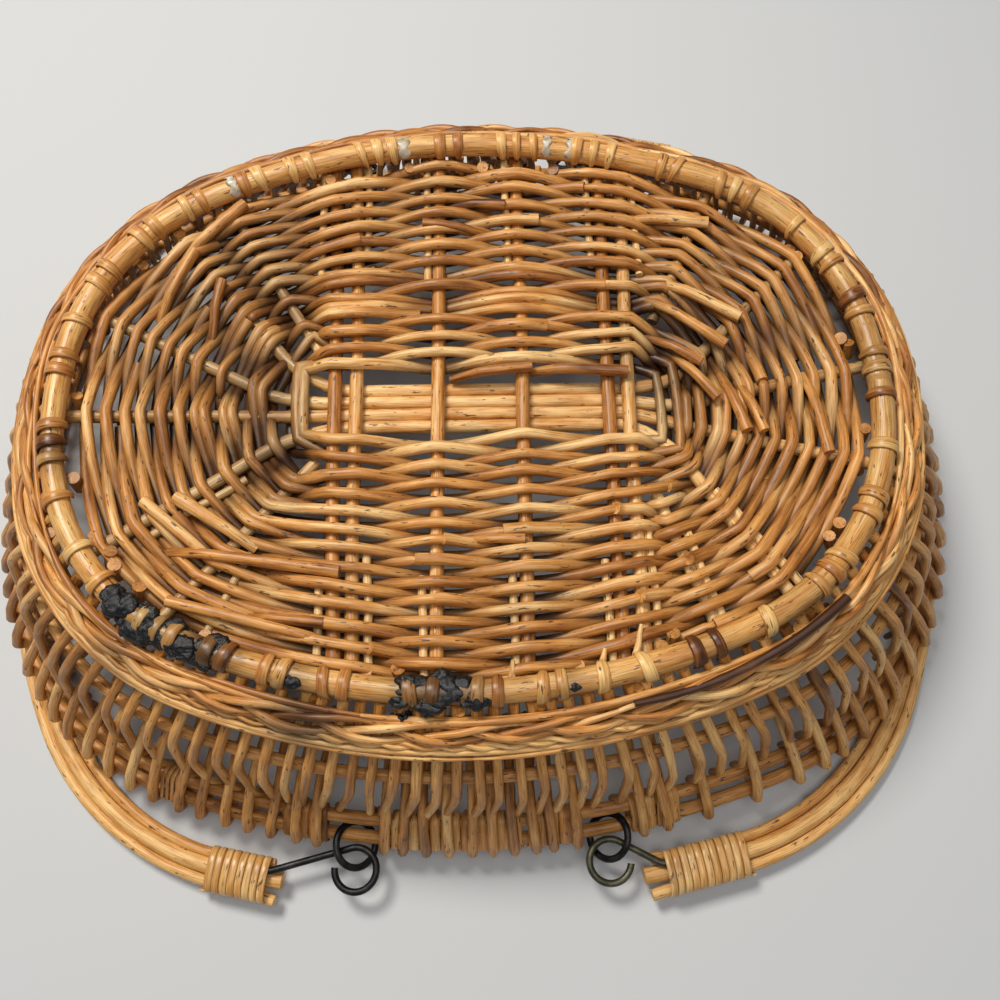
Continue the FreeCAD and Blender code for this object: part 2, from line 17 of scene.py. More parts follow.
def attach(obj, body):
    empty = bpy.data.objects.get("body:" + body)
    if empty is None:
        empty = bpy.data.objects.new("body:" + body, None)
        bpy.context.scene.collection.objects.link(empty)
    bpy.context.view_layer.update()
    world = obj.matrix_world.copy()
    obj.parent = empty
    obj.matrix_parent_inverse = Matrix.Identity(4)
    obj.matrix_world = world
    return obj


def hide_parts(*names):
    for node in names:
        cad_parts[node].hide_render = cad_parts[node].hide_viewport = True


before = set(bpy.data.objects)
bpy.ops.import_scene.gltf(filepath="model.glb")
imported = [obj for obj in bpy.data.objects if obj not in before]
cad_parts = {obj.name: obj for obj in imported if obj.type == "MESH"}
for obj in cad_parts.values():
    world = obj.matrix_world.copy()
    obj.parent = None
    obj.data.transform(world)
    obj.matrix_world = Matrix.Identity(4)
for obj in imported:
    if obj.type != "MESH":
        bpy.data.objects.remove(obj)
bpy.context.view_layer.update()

MM = 0.001
chance = np.random.default_rng(11)

# %% [markdown]
# ## The ovals
# Every closed rod of the basket follows an oval of eight arcs that meet smoothly: flat long
# sides, flat ends and rounder corners. A table of points at equal steps round each oval lets any
# piece ask for a place by its share of the way round, from the right end (0) over the back
# (0.25) and the left end (0.5) to the front (0.75).

# %% Arcs and tables of an oval
TABLE_STEPS = 2400


def oval_arcs(half_length, half_width, side_radius, corner_radius, end_radius):
    """The three arcs from an end to a side, as centre x and y, radius, first and last angle."""
    side_centre = half_width - side_radius
    end_centre = half_length - end_radius
    reach = hypot(side_centre, end_centre)
    to_side, to_end = side_radius - corner_radius, end_radius - corner_radius
    along = (to_side**2 - to_end**2 + reach**2) / (2 * reach)
    aside = sqrt(to_side**2 - along**2)
    ux, uy = end_centre / reach, -side_centre / reach
    corner_x, corner_y = along * ux - aside * uy, side_centre + along * uy + aside * ux
    if corner_x < 0 or corner_y < 0:
        corner_x, corner_y = along * ux + aside * uy, side_centre + along * uy - aside * ux
    end_angle = atan2(corner_y, corner_x - end_centre)
    side_angle = atan2(corner_y - side_centre, corner_x)
    return [(end_centre, 0, end_radius, 0, end_angle),
            (corner_x, corner_y, corner_radius, end_angle, side_angle),
            (0, side_centre, side_radius, side_angle, pi / 2)]


def oval_table(*sizes):
    """Points and outward directions at equal steps as rows of x, y, nx, ny, and the way round."""
    arcs = oval_arcs(*sizes)
    quarter = sum(radius * (last - first) for x, y, radius, first, last in arcs)
    rows = []
    for step in range(TABLE_STEPS):
        turn = step / TABLE_STEPS * 4
        index, part = int(turn), turn - int(turn)
        travel = (part if index % 2 == 0 else 1 - part) * quarter
        for x, y, radius, first, last in arcs:
            if travel <= radius * (last - first) or last == pi / 2:
                angle = first + travel / radius
                break
            travel -= radius * (last - first)
        nx, ny = cos(angle), sin(angle)
        fx, fy = (-1 if index in (1, 2) else 1), (-1 if index in (2, 3) else 1)
        rows.append(((x + radius * nx) * fx, (y + radius * ny) * fy, nx * fx, ny * fy))
    return np.array(rows), quarter * 4


# %% Places on an oval
def on_oval(table, share, out=0.0, height=0.0):
    """Point at a share of the way round, moved outwards, at a height."""
    place = (share % 1.0) * len(table)
    index, blend = int(place), place - int(place)
    row = table[index % len(table)] * (1 - blend) + table[(index + 1) % len(table)] * blend
    return np.array([row[0] + row[2] * out, row[1] + row[3] * out, height])


def outward(table, share):
    """Direction away from the middle, square to the oval."""
    row = table[int((share % 1.0) * len(table)) % len(table)]
    return np.array([row[2], row[3], 0.0])


def around(table, share, reach, angle, height, middle=0.0):
    """Point round a rod that lies along an oval: 0 is outwards, a quarter turn is up."""
    return on_oval(table, share, middle + reach * cos(angle), height + reach * sin(angle))


def facing(table, share, angle):
    """Direction away from such a rod's middle."""
    return outward(table, share) * cos(angle) + np.array([0, 0, sin(angle)])


def share_near(table, x, y):
    """Share of the way round of the oval's point nearest to a place."""
    return int(np.argmin((table[:, 0] - x) ** 2 + (table[:, 1] - y) ** 2)) / len(table)


# Half length and half width
HOOP, RING, RIM, HANDLE = (185.0, 135.0), (215.0, 165.0), (239.0, 189.0), (238.0, 213.0)
HANDLE_SIDE_RADIUS = 520.0
hoop_oval, hoop_length = oval_table(*HOOP, 300.0, 110.0, 165.0)
ring_oval, ring_length = oval_table(*RING, 360.0, 125.0, 225.0)
rim_oval, rim_length = oval_table(*RIM, 420.0, 140.0, 290.0)
handle_oval = oval_table(*HANDLE, HANDLE_SIDE_RADIUS, 130.0, 300.0)[0]
HOOP_Z, RING_Z, RIM_Z = 105.0, 66.0, 16.3
HOOP_R, RING_R, RIM_R = 5.25, 2.75, 3.1
UPPER_RIM_OUT, UPPER_RIM_UP = -7.8, 10.0
HINGE_X = 59.0
print("round the hoop", round(hoop_length), "mm, round the rim", round(rim_length), "mm")

# %% [markdown]
# ## Colours and helpers for nodes
# Colours are written as sRGB hex values, as an editor shows them, and one function turns them to
# the linear values that shaders use. One function adds a node, sets it and links it, and a few
# more make the groups of nodes that every material here needs.

# %% Colour and node helpers
def linear(hex_colour):
    """sRGB hex to linear RGBA."""
    parts = [int(hex_colour[i : i + 2], 16) / 255 for i in (1, 3, 5)]
    return (*(p / 12.92 if p <= 0.04045 else ((p + 0.055) / 1.055) ** 2.4 for p in parts), 1.0)


def new_material(name):
    """A material with its node tree and its shader."""
    made = bpy.data.materials.new(name)
    made.use_nodes = True
    return made, made.node_tree, made.node_tree.nodes["Principled BSDF"]


def add(tree, kind, inputs=None, **settings):
    """Adds a node, sets its properties, and sets or links its inputs."""
    made = tree.nodes.new(kind)
    for key, value in settings.items():
        setattr(made, key, value)
    for key, value in (inputs or {}).items():
        if isinstance(value, bpy.types.NodeSocket):
            tree.links.new(value, made.inputs[key])
        else:
            made.inputs[key].default_value = value
    return made


def sums(tree, operation, *terms, clamp=False):
    """Output of a math node."""
    made = add(tree, "ShaderNodeMath", dict(enumerate(terms)), operation=operation, use_clamp=clamp)
    return made.outputs[0]


def ramp(tree, factor, stops):
    """Colour ramp from (place, colour) pairs."""
    made = add(tree, "ShaderNodeValToRGB", {"Fac": factor})
    for element, (place, colour) in zip(made.color_ramp.elements, (stops[0], stops[-1])):
        element.position, element.color = place, colour
    for place, colour in stops[1:-1]:
        made.color_ramp.elements.new(place).color = colour
    return made.outputs["Color"]


def cloudy(tree, place, scale, detail, rough=0.5):
    """Factor of a noise texture."""
    inputs = {"Vector": place, "Scale": scale, "Detail": detail, "Roughness": rough}
    return add(tree, "ShaderNodeTexNoise", inputs).outputs["Fac"]


def object_place(tree):
    """Place in the object, for a texture."""
    return add(tree, "ShaderNodeTexCoord").outputs["Object"]


def spread(tree, value, low, high, first=0.0, last=1.0):
    """A value between first and last turned to one between low and high."""
    inputs = {"Value": value, "From Min": first, "From Max": last, "To Min": low, "To Max": high}
    return add(tree, "ShaderNodeMapRange", inputs).outputs["Result"]


def bump(tree, shader, height, strength, depth):
    """Roughens the surface by a height, to a depth in mm."""
    inputs = {"Strength": strength, "Distance": depth * MM, "Height": height}
    made = add(tree, "ShaderNodeBump", inputs)
    tree.links.new(made.outputs["Normal"], shader.inputs["Normal"])


# %% [markdown]
# ## Peeled willow
# The rods are willow stripped of its bark, which leaves a smooth, faintly satin wood: warm honey
# on the side that the light reaches, browner where it has aged. Fibres run along the rod, so the
# pattern has to follow each rod round its bends. Each piece therefore carries an attribute, grain,
# that says how far along its own rod a point lies and where in the rod's section, in millimetres.
# Another attribute, tone, holds one number for each rod, so that neighbours differ as cut willow
# does, and a third holds how much old dirt or glue darkens it, together with painted shade between
# the rods, under the weave and inside the wall. Real fibre lines are 0.1 to 0.2 mm apart, too fine
# to show here, so they are drawn about 0.6 mm apart.

# %% Willow material
def willow(name, shades, roughness):
    """Peeled willow from four shades, dark to light."""
    made, tree, shader = new_material(name)
    grain, tone, stain_and_shade = (add(tree, "ShaderNodeAttribute", attribute_name=key).outputs[kind]
                          for key, kind in (("grain", "Vector"), ("tone", "Fac"), ("stain_and_shade", "Fac")))

    def stretched(along, across, detail, rough=0.55):
        """Noise in the rod's own lengths, drawn out along it."""
        fitted = add(tree, "ShaderNodeMapping", {"Vector": grain, "Scale": (along, across, across)})
        return cloudy(tree, fitted.outputs[0], 1.0, detail, rough)

    def mixed(share, first, second, blend="MIX"):
        return add(tree, "ShaderNodeMix", {"Factor": share, 6: first, 7: second},
                   data_type="RGBA", blend_type=blend).outputs[2]

    blotches = stretched(0.032, 0.14, 4.0, 0.62)
    streaks = stretched(0.026, 0.7, 3.0, 0.6)
    fibres = stretched(0.08, 2.0, 2.0)
    flecks = stretched(0.13, 0.62, 2.0, 0.75)
    level = sums(tree, "ADD", tone, sums(tree, "MULTIPLY_ADD", blotches, 1.25, -0.6))
    level = sums(tree, "ADD", level, sums(tree, "MULTIPLY_ADD", streaks, 0.62, -0.31))
    colour = ramp(tree, level, list(zip((0.0, 0.27, 0.55, 0.85), map(linear, shades))))
    lines = ramp(tree, fibres, [(0.34, linear("#A88A6A")), (0.54, linear("#FFFFFF"))])
    colour = mixed(0.6, colour, lines, "MULTIPLY")
    spots = ramp(tree, flecks, [(0.635, linear("#000000")), (0.68, linear("#FFFFFF"))])
    colour = mixed(sums(tree, "MULTIPLY", spots, 0.85), colour, linear("#3A1E0C"))

    # Grime gathers in wide patches and along the streaks; the third attribute adds real stains and
    # painted shade between the rods and inside the wall
    wide = cloudy(tree, object_place(tree), 26.0, 3.0, 0.6)
    patchy = sums(tree, "MULTIPLY", spread(tree, wide, 0.0, 0.55, 0.5, 0.8), streaks)
    stain_shade_and_grime = sums(tree, "ADD", stain_and_shade, patchy, clamp=True)
    tree.links.new(mixed(stain_shade_and_grime, colour, linear("#351A09")), shader.inputs["Base Color"])
    gloss = spread(tree, streaks, roughness - 0.12, roughness + 0.14)
    tree.links.new(gloss, shader.inputs["Roughness"])
    bump(tree, shader, sums(tree, "MULTIPLY_ADD", fibres, 0.35, blotches), 0.55, 0.4)
    shader.inputs["IOR"].default_value = 1.5
    return made


# %% Plain mixed materials and the willow's shades
def two_shades(name, scale, detail, stops, roughness):
    """Noise between two shades."""
    made, tree, shader = new_material(name)
    colour = ramp(tree, cloudy(tree, object_place(tree), scale, detail),
                  [(place, linear(shade)) for place, shade in stops])
    tree.links.new(colour, shader.inputs["Base Color"])
    shader.inputs["Roughness"].default_value = roughness
    return made


willow_hoop = willow("aged peeled willow, hoop", ("#5C3010", "#B27034", "#DA9F56", "#F2C780"), 0.36)
willow_base = willow("aged peeled willow, base", ("#522A0C", "#AE6E30", "#DA9A50", "#F5CB8A"), 0.42)
willow_side = willow("aged peeled willow, side", ("#563513", "#AA7032", "#D6984E", "#EFC07A"), 0.46)
willow_skein = willow("split willow skein", ("#6A3F1A", "#AE7436", "#D19C58", "#EFC98C"), 0.3)
cut_end = two_shades("sawn willow end", 700.0, 2.0, ((0.3, "#63351F"), (0.7, "#AA6C4A")), 0.7)
print("willow materials made")

# %% [markdown]
# ## Rods
# Each rod is a curve with a round bevel, because a curve takes a radius at each point and so gives
# the taper and the knots of a real rod. The rods of one piece are made together as splines of one
# curve, which becomes a mesh once. The bevel gives rings of vertices in the order of the points,
# so the attributes are written ring by ring. Where a piece is a flat strip of split willow, its
# rings are pressed flat towards the surface that the strip lies on. The open ends are closed last,
# in a material of their own.

# %% A rod, its sway and its knots
def rod(points, radius, tone=None, closed=False, flat=None, stain_and_shade=0.0):
    """One rod: points in mm, its radius or radii, and width and normals for a flat strip."""
    points = np.asarray(points, float)
    radii = np.broadcast_to(radius, len(points)).astype(float)
    tone = chance.normal(0.5, 0.14) if tone is None else tone
    stain_and_shade = np.full(len(points), float(stain_and_shade))
    return dict(points=points, radii=radii, tone=tone, closed=closed, flat=flat, stain_and_shade=stain_and_shade)


def wander(count, size, waves=4, closed=False):
    """Smooth random swing of a crooked rod."""
    t = np.linspace(0, tau, count, endpoint=not closed)
    total = np.zeros(count)
    for wave in range(1, waves + 1):
        pace = wave if closed else wave * 0.5
        total += chance.normal(0, 1) / wave**0.7 * np.sin(pace * t + chance.uniform(0, tau))
    return total * size * 0.7


def knots(count, length, size=0.08, spacing=75.0):
    """Radius factors with the small swellings where side shoots were cut off."""
    along = np.linspace(0, length, count)
    factor = np.ones(count)
    place = chance.uniform(0, spacing)
    while place < length:
        factor += size * chance.uniform(0.4, 1.2) * np.exp(-(((along - place) / 3.2) ** 2))
        place += spacing * chance.uniform(0.6, 1.5)
    return factor


def closed_rod(table, length, out, height, radius, sway=0.5, tone=None, step=4.0, size=0.05):
    """Closed oval rod with the slight sway and swellings of a real one."""
    count = int(length / step)
    outs, ups = wander(count, sway, 9, True), wander(count, sway * 0.6, 9, True)
    points = [on_oval(table, k / count, out + outs[k], height + ups[k]) for k in range(count)]
    radii = radius * (1 + wander(count, 0.025, 12, True)) * knots(count, length, size, 95.0)
    return rod(points, radii, tone, closed=True)


# %% Lines
def along_line(start, end, step=5.0, sway=0.5):
    """Points on a nearly straight rod."""
    start, end = np.asarray(start, float), np.asarray(end, float)
    count = max(3, int(np.linalg.norm(end - start) / step))
    t = np.linspace(0, 1, count)[:, None]
    points = start * (1 - t) + end * t
    points[:, 0] += wander(count, sway)
    points[:, 1] += wander(count, sway)
    points[:, 2] += wander(count, sway * 0.4)
    return points


def smoothed(points, passes):
    """Rounds the corners of a line by averaging neighbours."""
    points = points.copy()
    for turn in range(passes):
        points[1:-1] = points[1:-1] * 0.5 + (points[:-2] + points[2:]) * 0.25
    return points


def resample(points, step):
    """Equal steps along a line, so that twists and tapers spread evenly."""
    along = np.r_[0, np.cumsum(np.linalg.norm(np.diff(points, axis=0), axis=1))]
    marks = np.linspace(0, along[-1], max(3, int(along[-1] / step)))
    return np.stack([np.interp(marks, along, points[:, axis]) for axis in range(3)], 1)


# %% From rods to a mesh
def swept_mesh(name, rods, sides):
    """All rods as splines of one bevelled curve, turned into a mesh."""
    curve = bpy.data.curves.new(name, "CURVE")
    curve.dimensions = "3D"
    curve.bevel_depth = MM
    curve.bevel_resolution = (sides - 4) // 2
    for item in rods:
        points = item["points"] * MM
        spline = curve.splines.new("POLY")
        spline.points.add(len(points) - 1)
        spline.points.foreach_set("co", np.c_[points, np.ones(len(points))].ravel())
        spline.points.foreach_set("radius", item["radii"])
        spline.use_cyclic_u = item["closed"]
    holder = bpy.data.objects.new(name + "_line", curve)
    bpy.context.scene.collection.objects.link(holder)
    bpy.context.view_layer.update()
    mesh = bpy.data.meshes.new_from_object(holder)
    bpy.data.objects.remove(holder)
    mesh.name = name
    return mesh


def strip_rings(item, across, upward):
    """Rings of a strip, pressed flat along its normals, and how far across it they reach."""
    points, (width, normals) = item["points"], item["flat"]
    width = np.broadcast_to(np.asarray(width, float), len(points))
    tangent = np.gradient(points, axis=0)
    tangent /= np.linalg.norm(tangent, axis=1)[:, None]
    normals = np.asarray(normals, float)
    normals = normals - (normals * tangent).sum(1)[:, None] * tangent
    normals /= np.linalg.norm(normals, axis=1)[:, None]
    side = np.cross(tangent, normals)
    across = np.sign(across) * abs(across) ** 0.6
    aside = across[None, :] * width[:, None] / 2
    lift = upward[None, :] * item["radii"][:, None]
    rings = points[:, None] + side[:, None] * aside[..., None] + normals[:, None] * lift[..., None]
    return rings.reshape(-1, 3) * MM, aside


def close_ends(mesh, sides):
    """Smooth sides, and flat faces of the second material in the open ends."""
    shape = bmesh.new()
    shape.from_mesh(mesh)
    for face in shape.faces:
        face.smooth = True
        face.material_index = 0
    open_edges = [edge for edge in shape.edges if edge.is_boundary]
    for face in bmesh.ops.holes_fill(shape, edges=open_edges, sides=sides)["faces"]:
        face.smooth = False
        face.material_index = 1
        for edge in face.edges:
            edge.smooth = False
    bmesh.ops.recalc_face_normals(shape, faces=shape.faces)
    shape.to_mesh(mesh)
    shape.free()


def show(name, mesh, *materials):
    """Puts a mesh in the scene with its materials."""
    mesh.materials.clear()
    for material in materials:
        mesh.materials.append(material)
    made = bpy.data.objects.new(name, mesh)
    bpy.context.scene.collection.objects.link(made)
    return made


# %% One piece of many rods
GRAIN_ALONG, GRAIN_ASIDE = 137.0, 3.7  # from rod to rod, so that no two show the same wood


def make_rods(name, rods, material, nodes, sides=8, painted_shade_and_patches=None, body="basket"):
    """Turns rods into one closed mesh that rides on a body and stands for CAD nodes."""
    mesh = swept_mesh(name, rods, sides)
    place = np.zeros(len(mesh.vertices) * 3, np.float32)
    mesh.vertices.foreach_get("co", place)
    place = place.reshape(-1, 3).astype(float)
    angles = tau * (np.arange(sides) + 0.5) / sides
    across, upward = np.cos(angles), np.sin(angles)
    grain, tones, stains_and_shade = [], [], []
    start = 0
    for number, item in enumerate(rods):
        points, radii = item["points"], item["radii"]
        end = start + len(points) * sides
        aside = across[None, :] * radii[:, None] + number * GRAIN_ASIDE
        if item["flat"] is not None:
            place[start:end], aside = strip_rings(item, across, upward)
        along = np.r_[0, np.cumsum(np.linalg.norm(np.diff(points, axis=0), axis=1))]
        grain.append(np.stack([np.repeat(along, sides) + number * GRAIN_ALONG, aside.ravel(),
                               (upward[None, :] * radii[:, None]).ravel()], 1))
        tones.append(np.full(end - start, float(item["tone"])))
        stains_and_shade.append(np.repeat(item["stain_and_shade"], sides))
        start = end
    assert start == len(place), name
    stains_and_shade = np.concatenate(stains_and_shade)
    # Painted shade and darker patches, from where each point lies, are added to the rods' stains
    if painted_shade_and_patches is not None:
        stains_and_shade = np.clip(stains_and_shade + painted_shade_and_patches(place / MM), 0, 0.93)
    mesh.vertices.foreach_set("co", place.astype(np.float32).ravel())
    for key, kind, field, values in (("grain", "FLOAT_VECTOR", "vector", np.vstack(grain)),
                                     ("tone", "FLOAT", "value", np.concatenate(tones)),
                                     ("stain_and_shade", "FLOAT", "value", stains_and_shade)):
        data = mesh.attributes.new(key, kind, "POINT").data
        data.foreach_set(field, values.astype(np.float32).ravel())
    close_ends(mesh, sides)
    made = show(name, mesh, material, cut_end)
    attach(made, body)
    if nodes:
        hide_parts(*nodes)
    print(name, len(rods), "rods", len(mesh.polygons) * 2, "triangles")


# %% [markdown]
# ## Painted shade and darker patches
# Painted shade darkens the colour between the rods, on the sticks under the weave and inside the
# wall, where shade falls, and patches of the base are coloured darker. Each function gives how dark
# a point is from where it is, and stained darkens a rod near given places.

# %% Where the colour is darkened
# Middle, reach and strength of the darker places of the base, in mm
darker_base_patches = [
    (-94, 12, 18, 0.32), (-116, 76, 36, 0.5), (-60, 92, 30, 0.3), (-10, 104, 26, 0.35),
    (60, 96, 26, 0.28), (86, 34, 18, 0.5), (100, 6, 16, 0.35), (74, 20, 12, 0.45),
    (22, -96, 30, 0.3), (18, -60, 16, 0.25), (-52, -112, 26, 0.3), (-86, -28, 16, 0.3),
    (150, 40, 26, 0.3), (-160, 10, 22, 0.15), (110, -112, 20, 0.3)]


def darker_patches(place):
    """Places where the base is coloured darker, less so on what stands highest."""
    patches = np.zeros(len(place))
    for x, y, reach, strength in darker_base_patches:
        patches += strength * np.exp(-((place[:, 0] - x) ** 2 + (place[:, 1] - y) ** 2) / reach**2)
    return patches * np.clip((105.5 - place[:, 2]) / 9.0, 0.12, 1)


def painted_shade_under_weave_and_patches(place):
    """Darker patches, and painted shade on the sticks that fan out under the weave, but not at the
    right front.
    """
    # Painted shade: the sticks beyond the middle lie under the weave
    covered = np.clip((np.hypot(place[:, 0] - 6, place[:, 1]) - 84) / 10, 0, 1)
    worn = (place[:, 0] > 60) & (place[:, 1] < -20)
    return darker_patches(place) + 0.4 * covered * ~worn


def painted_shade_and_patches_in_weave(place):
    """Painted shade between the rods, darkest where a weaver dips under the sticks; darker patches.
    """
    return np.clip((101.0 - place[:, 2]) / 9.0, 0, 1) ** 1.2 * 0.92 + darker_patches(place)


def painted_shade_inside_wall(place):
    """Painted shade, darker towards the inside of the wall, measured from the oval of the wall at
    each height.
    """
    heights = [RIM_Z, RING_Z, HOOP_Z]
    scale = np.interp(place[:, 2], heights, [1.0, RING[0] / RIM[0], HOOP[0] / RIM[0]])
    wide = np.interp(place[:, 2], heights, [1.0, RING[1] / RIM[1], HOOP[1] / RIM[1]])
    share = np.arctan2(place[:, 1] / wide * RIM[0] / RIM[1], place[:, 0] / scale)
    radius = np.hypot(place[:, 0] / scale, place[:, 1] / wide)
    shares = np.arctan2(rim_oval[:, 1] * RIM[0] / RIM[1], rim_oval[:, 0])
    order = np.argsort(shares)
    full = np.hypot(rim_oval[:, 0], rim_oval[:, 1])[order]
    proud = radius - np.interp(share, shares[order], full)
    return np.clip((-1.0 - proud) / 9.0, 0, 1) * 0.45


def stained(item, spots):
    """Darkens a rod near places given as x, y, z, reach and strength."""
    for x, y, z, reach, strength in spots:
        away = np.linalg.norm(item["points"] - np.array([x, y, z]), axis=1)
        item["stain_and_shade"] = np.maximum(item["stain_and_shade"], strength * np.exp(-((away / reach) ** 2)))
    return item


# %% [markdown]
# ## Hoop, middle ring and rim
# These are the stout rods that everything else is wound on. The hoop is the foot of the basket in
# use and the highest thing here. Old glue and damp have darkened it in places.

# %% Closed rods
dirt = [(-179, -24, 105, 10, 0.75), (-112, -119, 107, 16, 0.9), (-14, -138, 105, 20, 0.95),
        (-132, -106, 105, 14, 0.7), (-74, -131, 104, 9, 0.7), (39, -137, 106, 7, 0.5),
        (96, -124, 104, 10, 0.35), (182, 10, 105, 75, 0.27)]
hoop = stained(closed_rod(hoop_oval, hoop_length, 0, HOOP_Z, HOOP_R, 0.5, 0.58, 3.0, 0.04), dirt)
make_rods("hoop", [hoop], willow_hoop, ["base_hoop"], 12)
make_rods("middle_ring_rod", [closed_rod(ring_oval, ring_length, 0, RING_Z, RING_R, 0.5, 0.5)],
          willow_side, ["middle_ring"], 10)
rim_rods = [closed_rod(rim_oval, rim_length, out, RIM_Z + up, RIM_R, 0.35, tone)
            for out, up, tone in ((0, 0, 0.42), (UPPER_RIM_OUT, UPPER_RIM_UP, 0.38))]
make_rods("rim_rods", rim_rods, willow_side, ["rim_lower_rod", "rim_upper_rod"], 10)

# %% [markdown]
# ## Sticks of the base
# Six stout sticks cross the base, and four lie along it under them. Beyond the last cross stick
# the long ones fan out, and shorter sticks fill in between. All of them are the warp that the
# weavers go over and under.

# %% Sticks across
CROSS_Z, LONG_Z, CROSS_R, LONG_R = 96.4, 90.5, 3.2, 2.6
cross_x = [-61.0, -51.8, -13.9, 24.5, 64.5, 74.0]
cross_lean = [2.0, 1.5, -2.0, -2.0, -2.0, -3.5]
cross_beside = [-5.6 * 1.1, 6.0, -5.6, -5.6, -5.6, 6.0]
cross_tones = [0.34, 0.56, 0.5, 0.42, 0.26, 0.66]
WEAVE_OUT = -8.5  # outer edge of the weave, from the hoop's middle line
weave_edge = np.array([on_oval(hoop_oval, k / TABLE_STEPS, WEAVE_OUT) for k in range(TABLE_STEPS)])


def edge_hit(start, heading):
    """Where a ray from start meets the outer edge of the weave."""
    heading = np.asarray(heading[:2], float) / np.linalg.norm(heading[:2])
    ray = weave_edge[:, :2] - np.asarray(start[:2])
    miss = abs(ray[:, 0] * heading[1] - ray[:, 1] * heading[0])
    miss[ray @ heading <= 0] = np.inf
    return weave_edge[int(np.argmin(miss))]


def cross_at(number, y):
    """Place along a stick across, which leans a little."""
    return cross_x[number] - cross_lean[number] * y / 120


sticks = []
for number in range(6):
    front, back = (edge_hit((cross_at(number, 0), 0), (0, side))[1] for side in (-1, 1))
    points = along_line((cross_at(number, front), front - 9, CROSS_Z),
                        (cross_at(number, back), back + 9, CROSS_Z), 4, 0.5)
    sticks.append(rod(points, CROSS_R * knots(len(points), 260, 0.06, 60), cross_tones[number]))
    for side in (-1, 1):
        beside = cross_at(number, side * 100) + cross_beside[number]
        reach = edge_hit((beside, 0), (0, side))[1] + side * 7
        thin = along_line((beside, side * chance.uniform(62, 84), CROSS_Z + 0.6),
                          (beside, reach, CROSS_Z + 0.6), 4, 0.4)
        sticks.append(rod(thin, 1.9, chance.uniform(0.75, 1.0)))
make_rods("cross_sticks", sticks, willow_base, ["base_cross_sticks"], 10,
          darker_patches)

# %% Where the sticks fan out
# Root and a second place on each stick of an end, the share of the way out from which it is woven
# singly, and which of the four long sticks it belongs to, if any. Two are a pair until PAIRED.
PAIRED = 0.42
right_rays = [
    ((75, -26), (88.6, -68.3), 0.30, None), ((88, -19), (109.7, -54.8), 0.10, 0),
    ((88, -11.5), (138.8, -26.2), PAIRED, 1), ((88, -6), (165, 7.5), PAIRED, 2),
    ((90, 3), (154, 65), 0.10, 3), ((80, 22), (120, 108), 0.26, None)]
left_rays = [
    ((-67, 25), (-106.3, 92.6), 0.06, None), ((-76, 14), (-137.4, 89.4), 0.20, 3),
    ((-80, 1), (-171, 48.7), 0.10, 2), ((-79, -4), (-178, -2.3), 0.28, 1),
    ((-78, -12), (-147.7, -57), 0.10, 0), ((-68, -25), (-123.4, -88.2), 0.06, None)]
rays = {}
for side, table in ((1, right_rays), (-1, left_rays)):
    rays[side] = []
    for root, far, woven_from, long_stick in table:
        tip = edge_hit(root, np.subtract(far, root))
        raised = 1.6 if side > 0 and far[1] < -50 else 0.0
        start = np.array([root[0], root[1], LONG_Z + raised])
        end = np.array([tip[0], tip[1], CROSS_Z - 1.0 + raised])
        rays[side].append((start, end, woven_from, long_stick))


def beyond(root, tip, extra=8):
    """The stick's end, carried on under the hoop."""
    return tip + (tip - root) / np.linalg.norm(tip - root) * extra


# %% Long sticks and those between them
long_sticks, bye_sticks = [], []
for number, y in enumerate((-10.9, -4.8, 1.3, 7.4)):
    ends = {}
    for side in (1, -1):
        root, tip = [ray for ray in rays[side] if ray[3] == number][0][:2]
        ends[side] = along_line(root, beyond(root, tip), 4, 0.3)
    middle = along_line((-63, y + 1.2, LONG_Z), (77, y - 1.6, LONG_Z), 4, 0.2)
    points = smoothed(np.vstack([ends[-1][:0:-1], middle, ends[1][1:]]), 4)
    thick = 3.0 * knots(len(points), 330, 0.07, 50)
    long_sticks.append(rod(points, thick, chance.uniform(0.62, 0.78)))
# Painted shade darkens the long sticks where the weave covers them
make_rods("long_sticks", long_sticks, willow_base, ["base_long_sticks"], 10,
          painted_shade_under_weave_and_patches)
for side in (1, -1):
    for root, tip, woven_from, owner in rays[side]:
        if owner is None:
            start = root + (tip - root) * (woven_from - 0.04)
            points = along_line(start, beyond(root, tip), 4, 0.4)
            bye_sticks.append(rod(points, 2.8 * knots(len(points), 100, 0.07, 45),
                                  1.15 if tip[1] < -60 and side > 0 else 0.7))
for start, end, radius in (
        ((93, -66, 96.5), (108, -119, 98), 2.2), ((108, -48, 96), (141, -94, 98), 2.3),
        ((-96, -70, 94), (-112, -104, 96), 1.9), ((-100, -35, 94), (-140, -62, 96), 1.9)):
    bye_sticks.append(rod(along_line(start, end, 4, 0.4), radius, 1.1))
# Painted shade darkens these sticks too where the weave covers them
make_rods("bye_sticks", bye_sticks, willow_base, ["base_bye_sticks"], 8, painted_shade_under_weave_and_patches)

# %% [markdown]
# ## Weave of the base
# The weavers go round the middle, over one stick and under the next, and each row does the
# opposite of the row before. Willow doesn't bend smoothly: it kinks where it crosses a stick and
# runs nearly straight between. So each row is a chain of crossings, lifted over or pressed under
# the stick, with the corner cut only a little. Near the middle a row passes all the sticks of an
# end as one. Each row is laid with up to three rods that taper from butt to tip, and the butts of
# later rods lie on top, cut off short, as on the real base.

# %% Where a row crosses the sticks
ROWS = 25
FRONT_ROW, BACK_ROW = -20.5, 17.5  # where the first row passes the middle sticks
AS_ONE = 0.09  # share of the way out up to which an end's sticks are passed as one
WEAVER_R = 1.75


def group_across(numbers, side, first_row, t):
    """Stops on cross sticks that a row passes as one, at the front (-1) or the back (1)."""
    stops = []
    for number in numbers:
        edge = edge_hit((cross_at(number, side * 100), 0), (0, side))[1]
        y = first_row * (1 - t) + edge * t
        stops.append((cross_at(number, y), y, CROSS_Z, CROSS_R))
    return stops


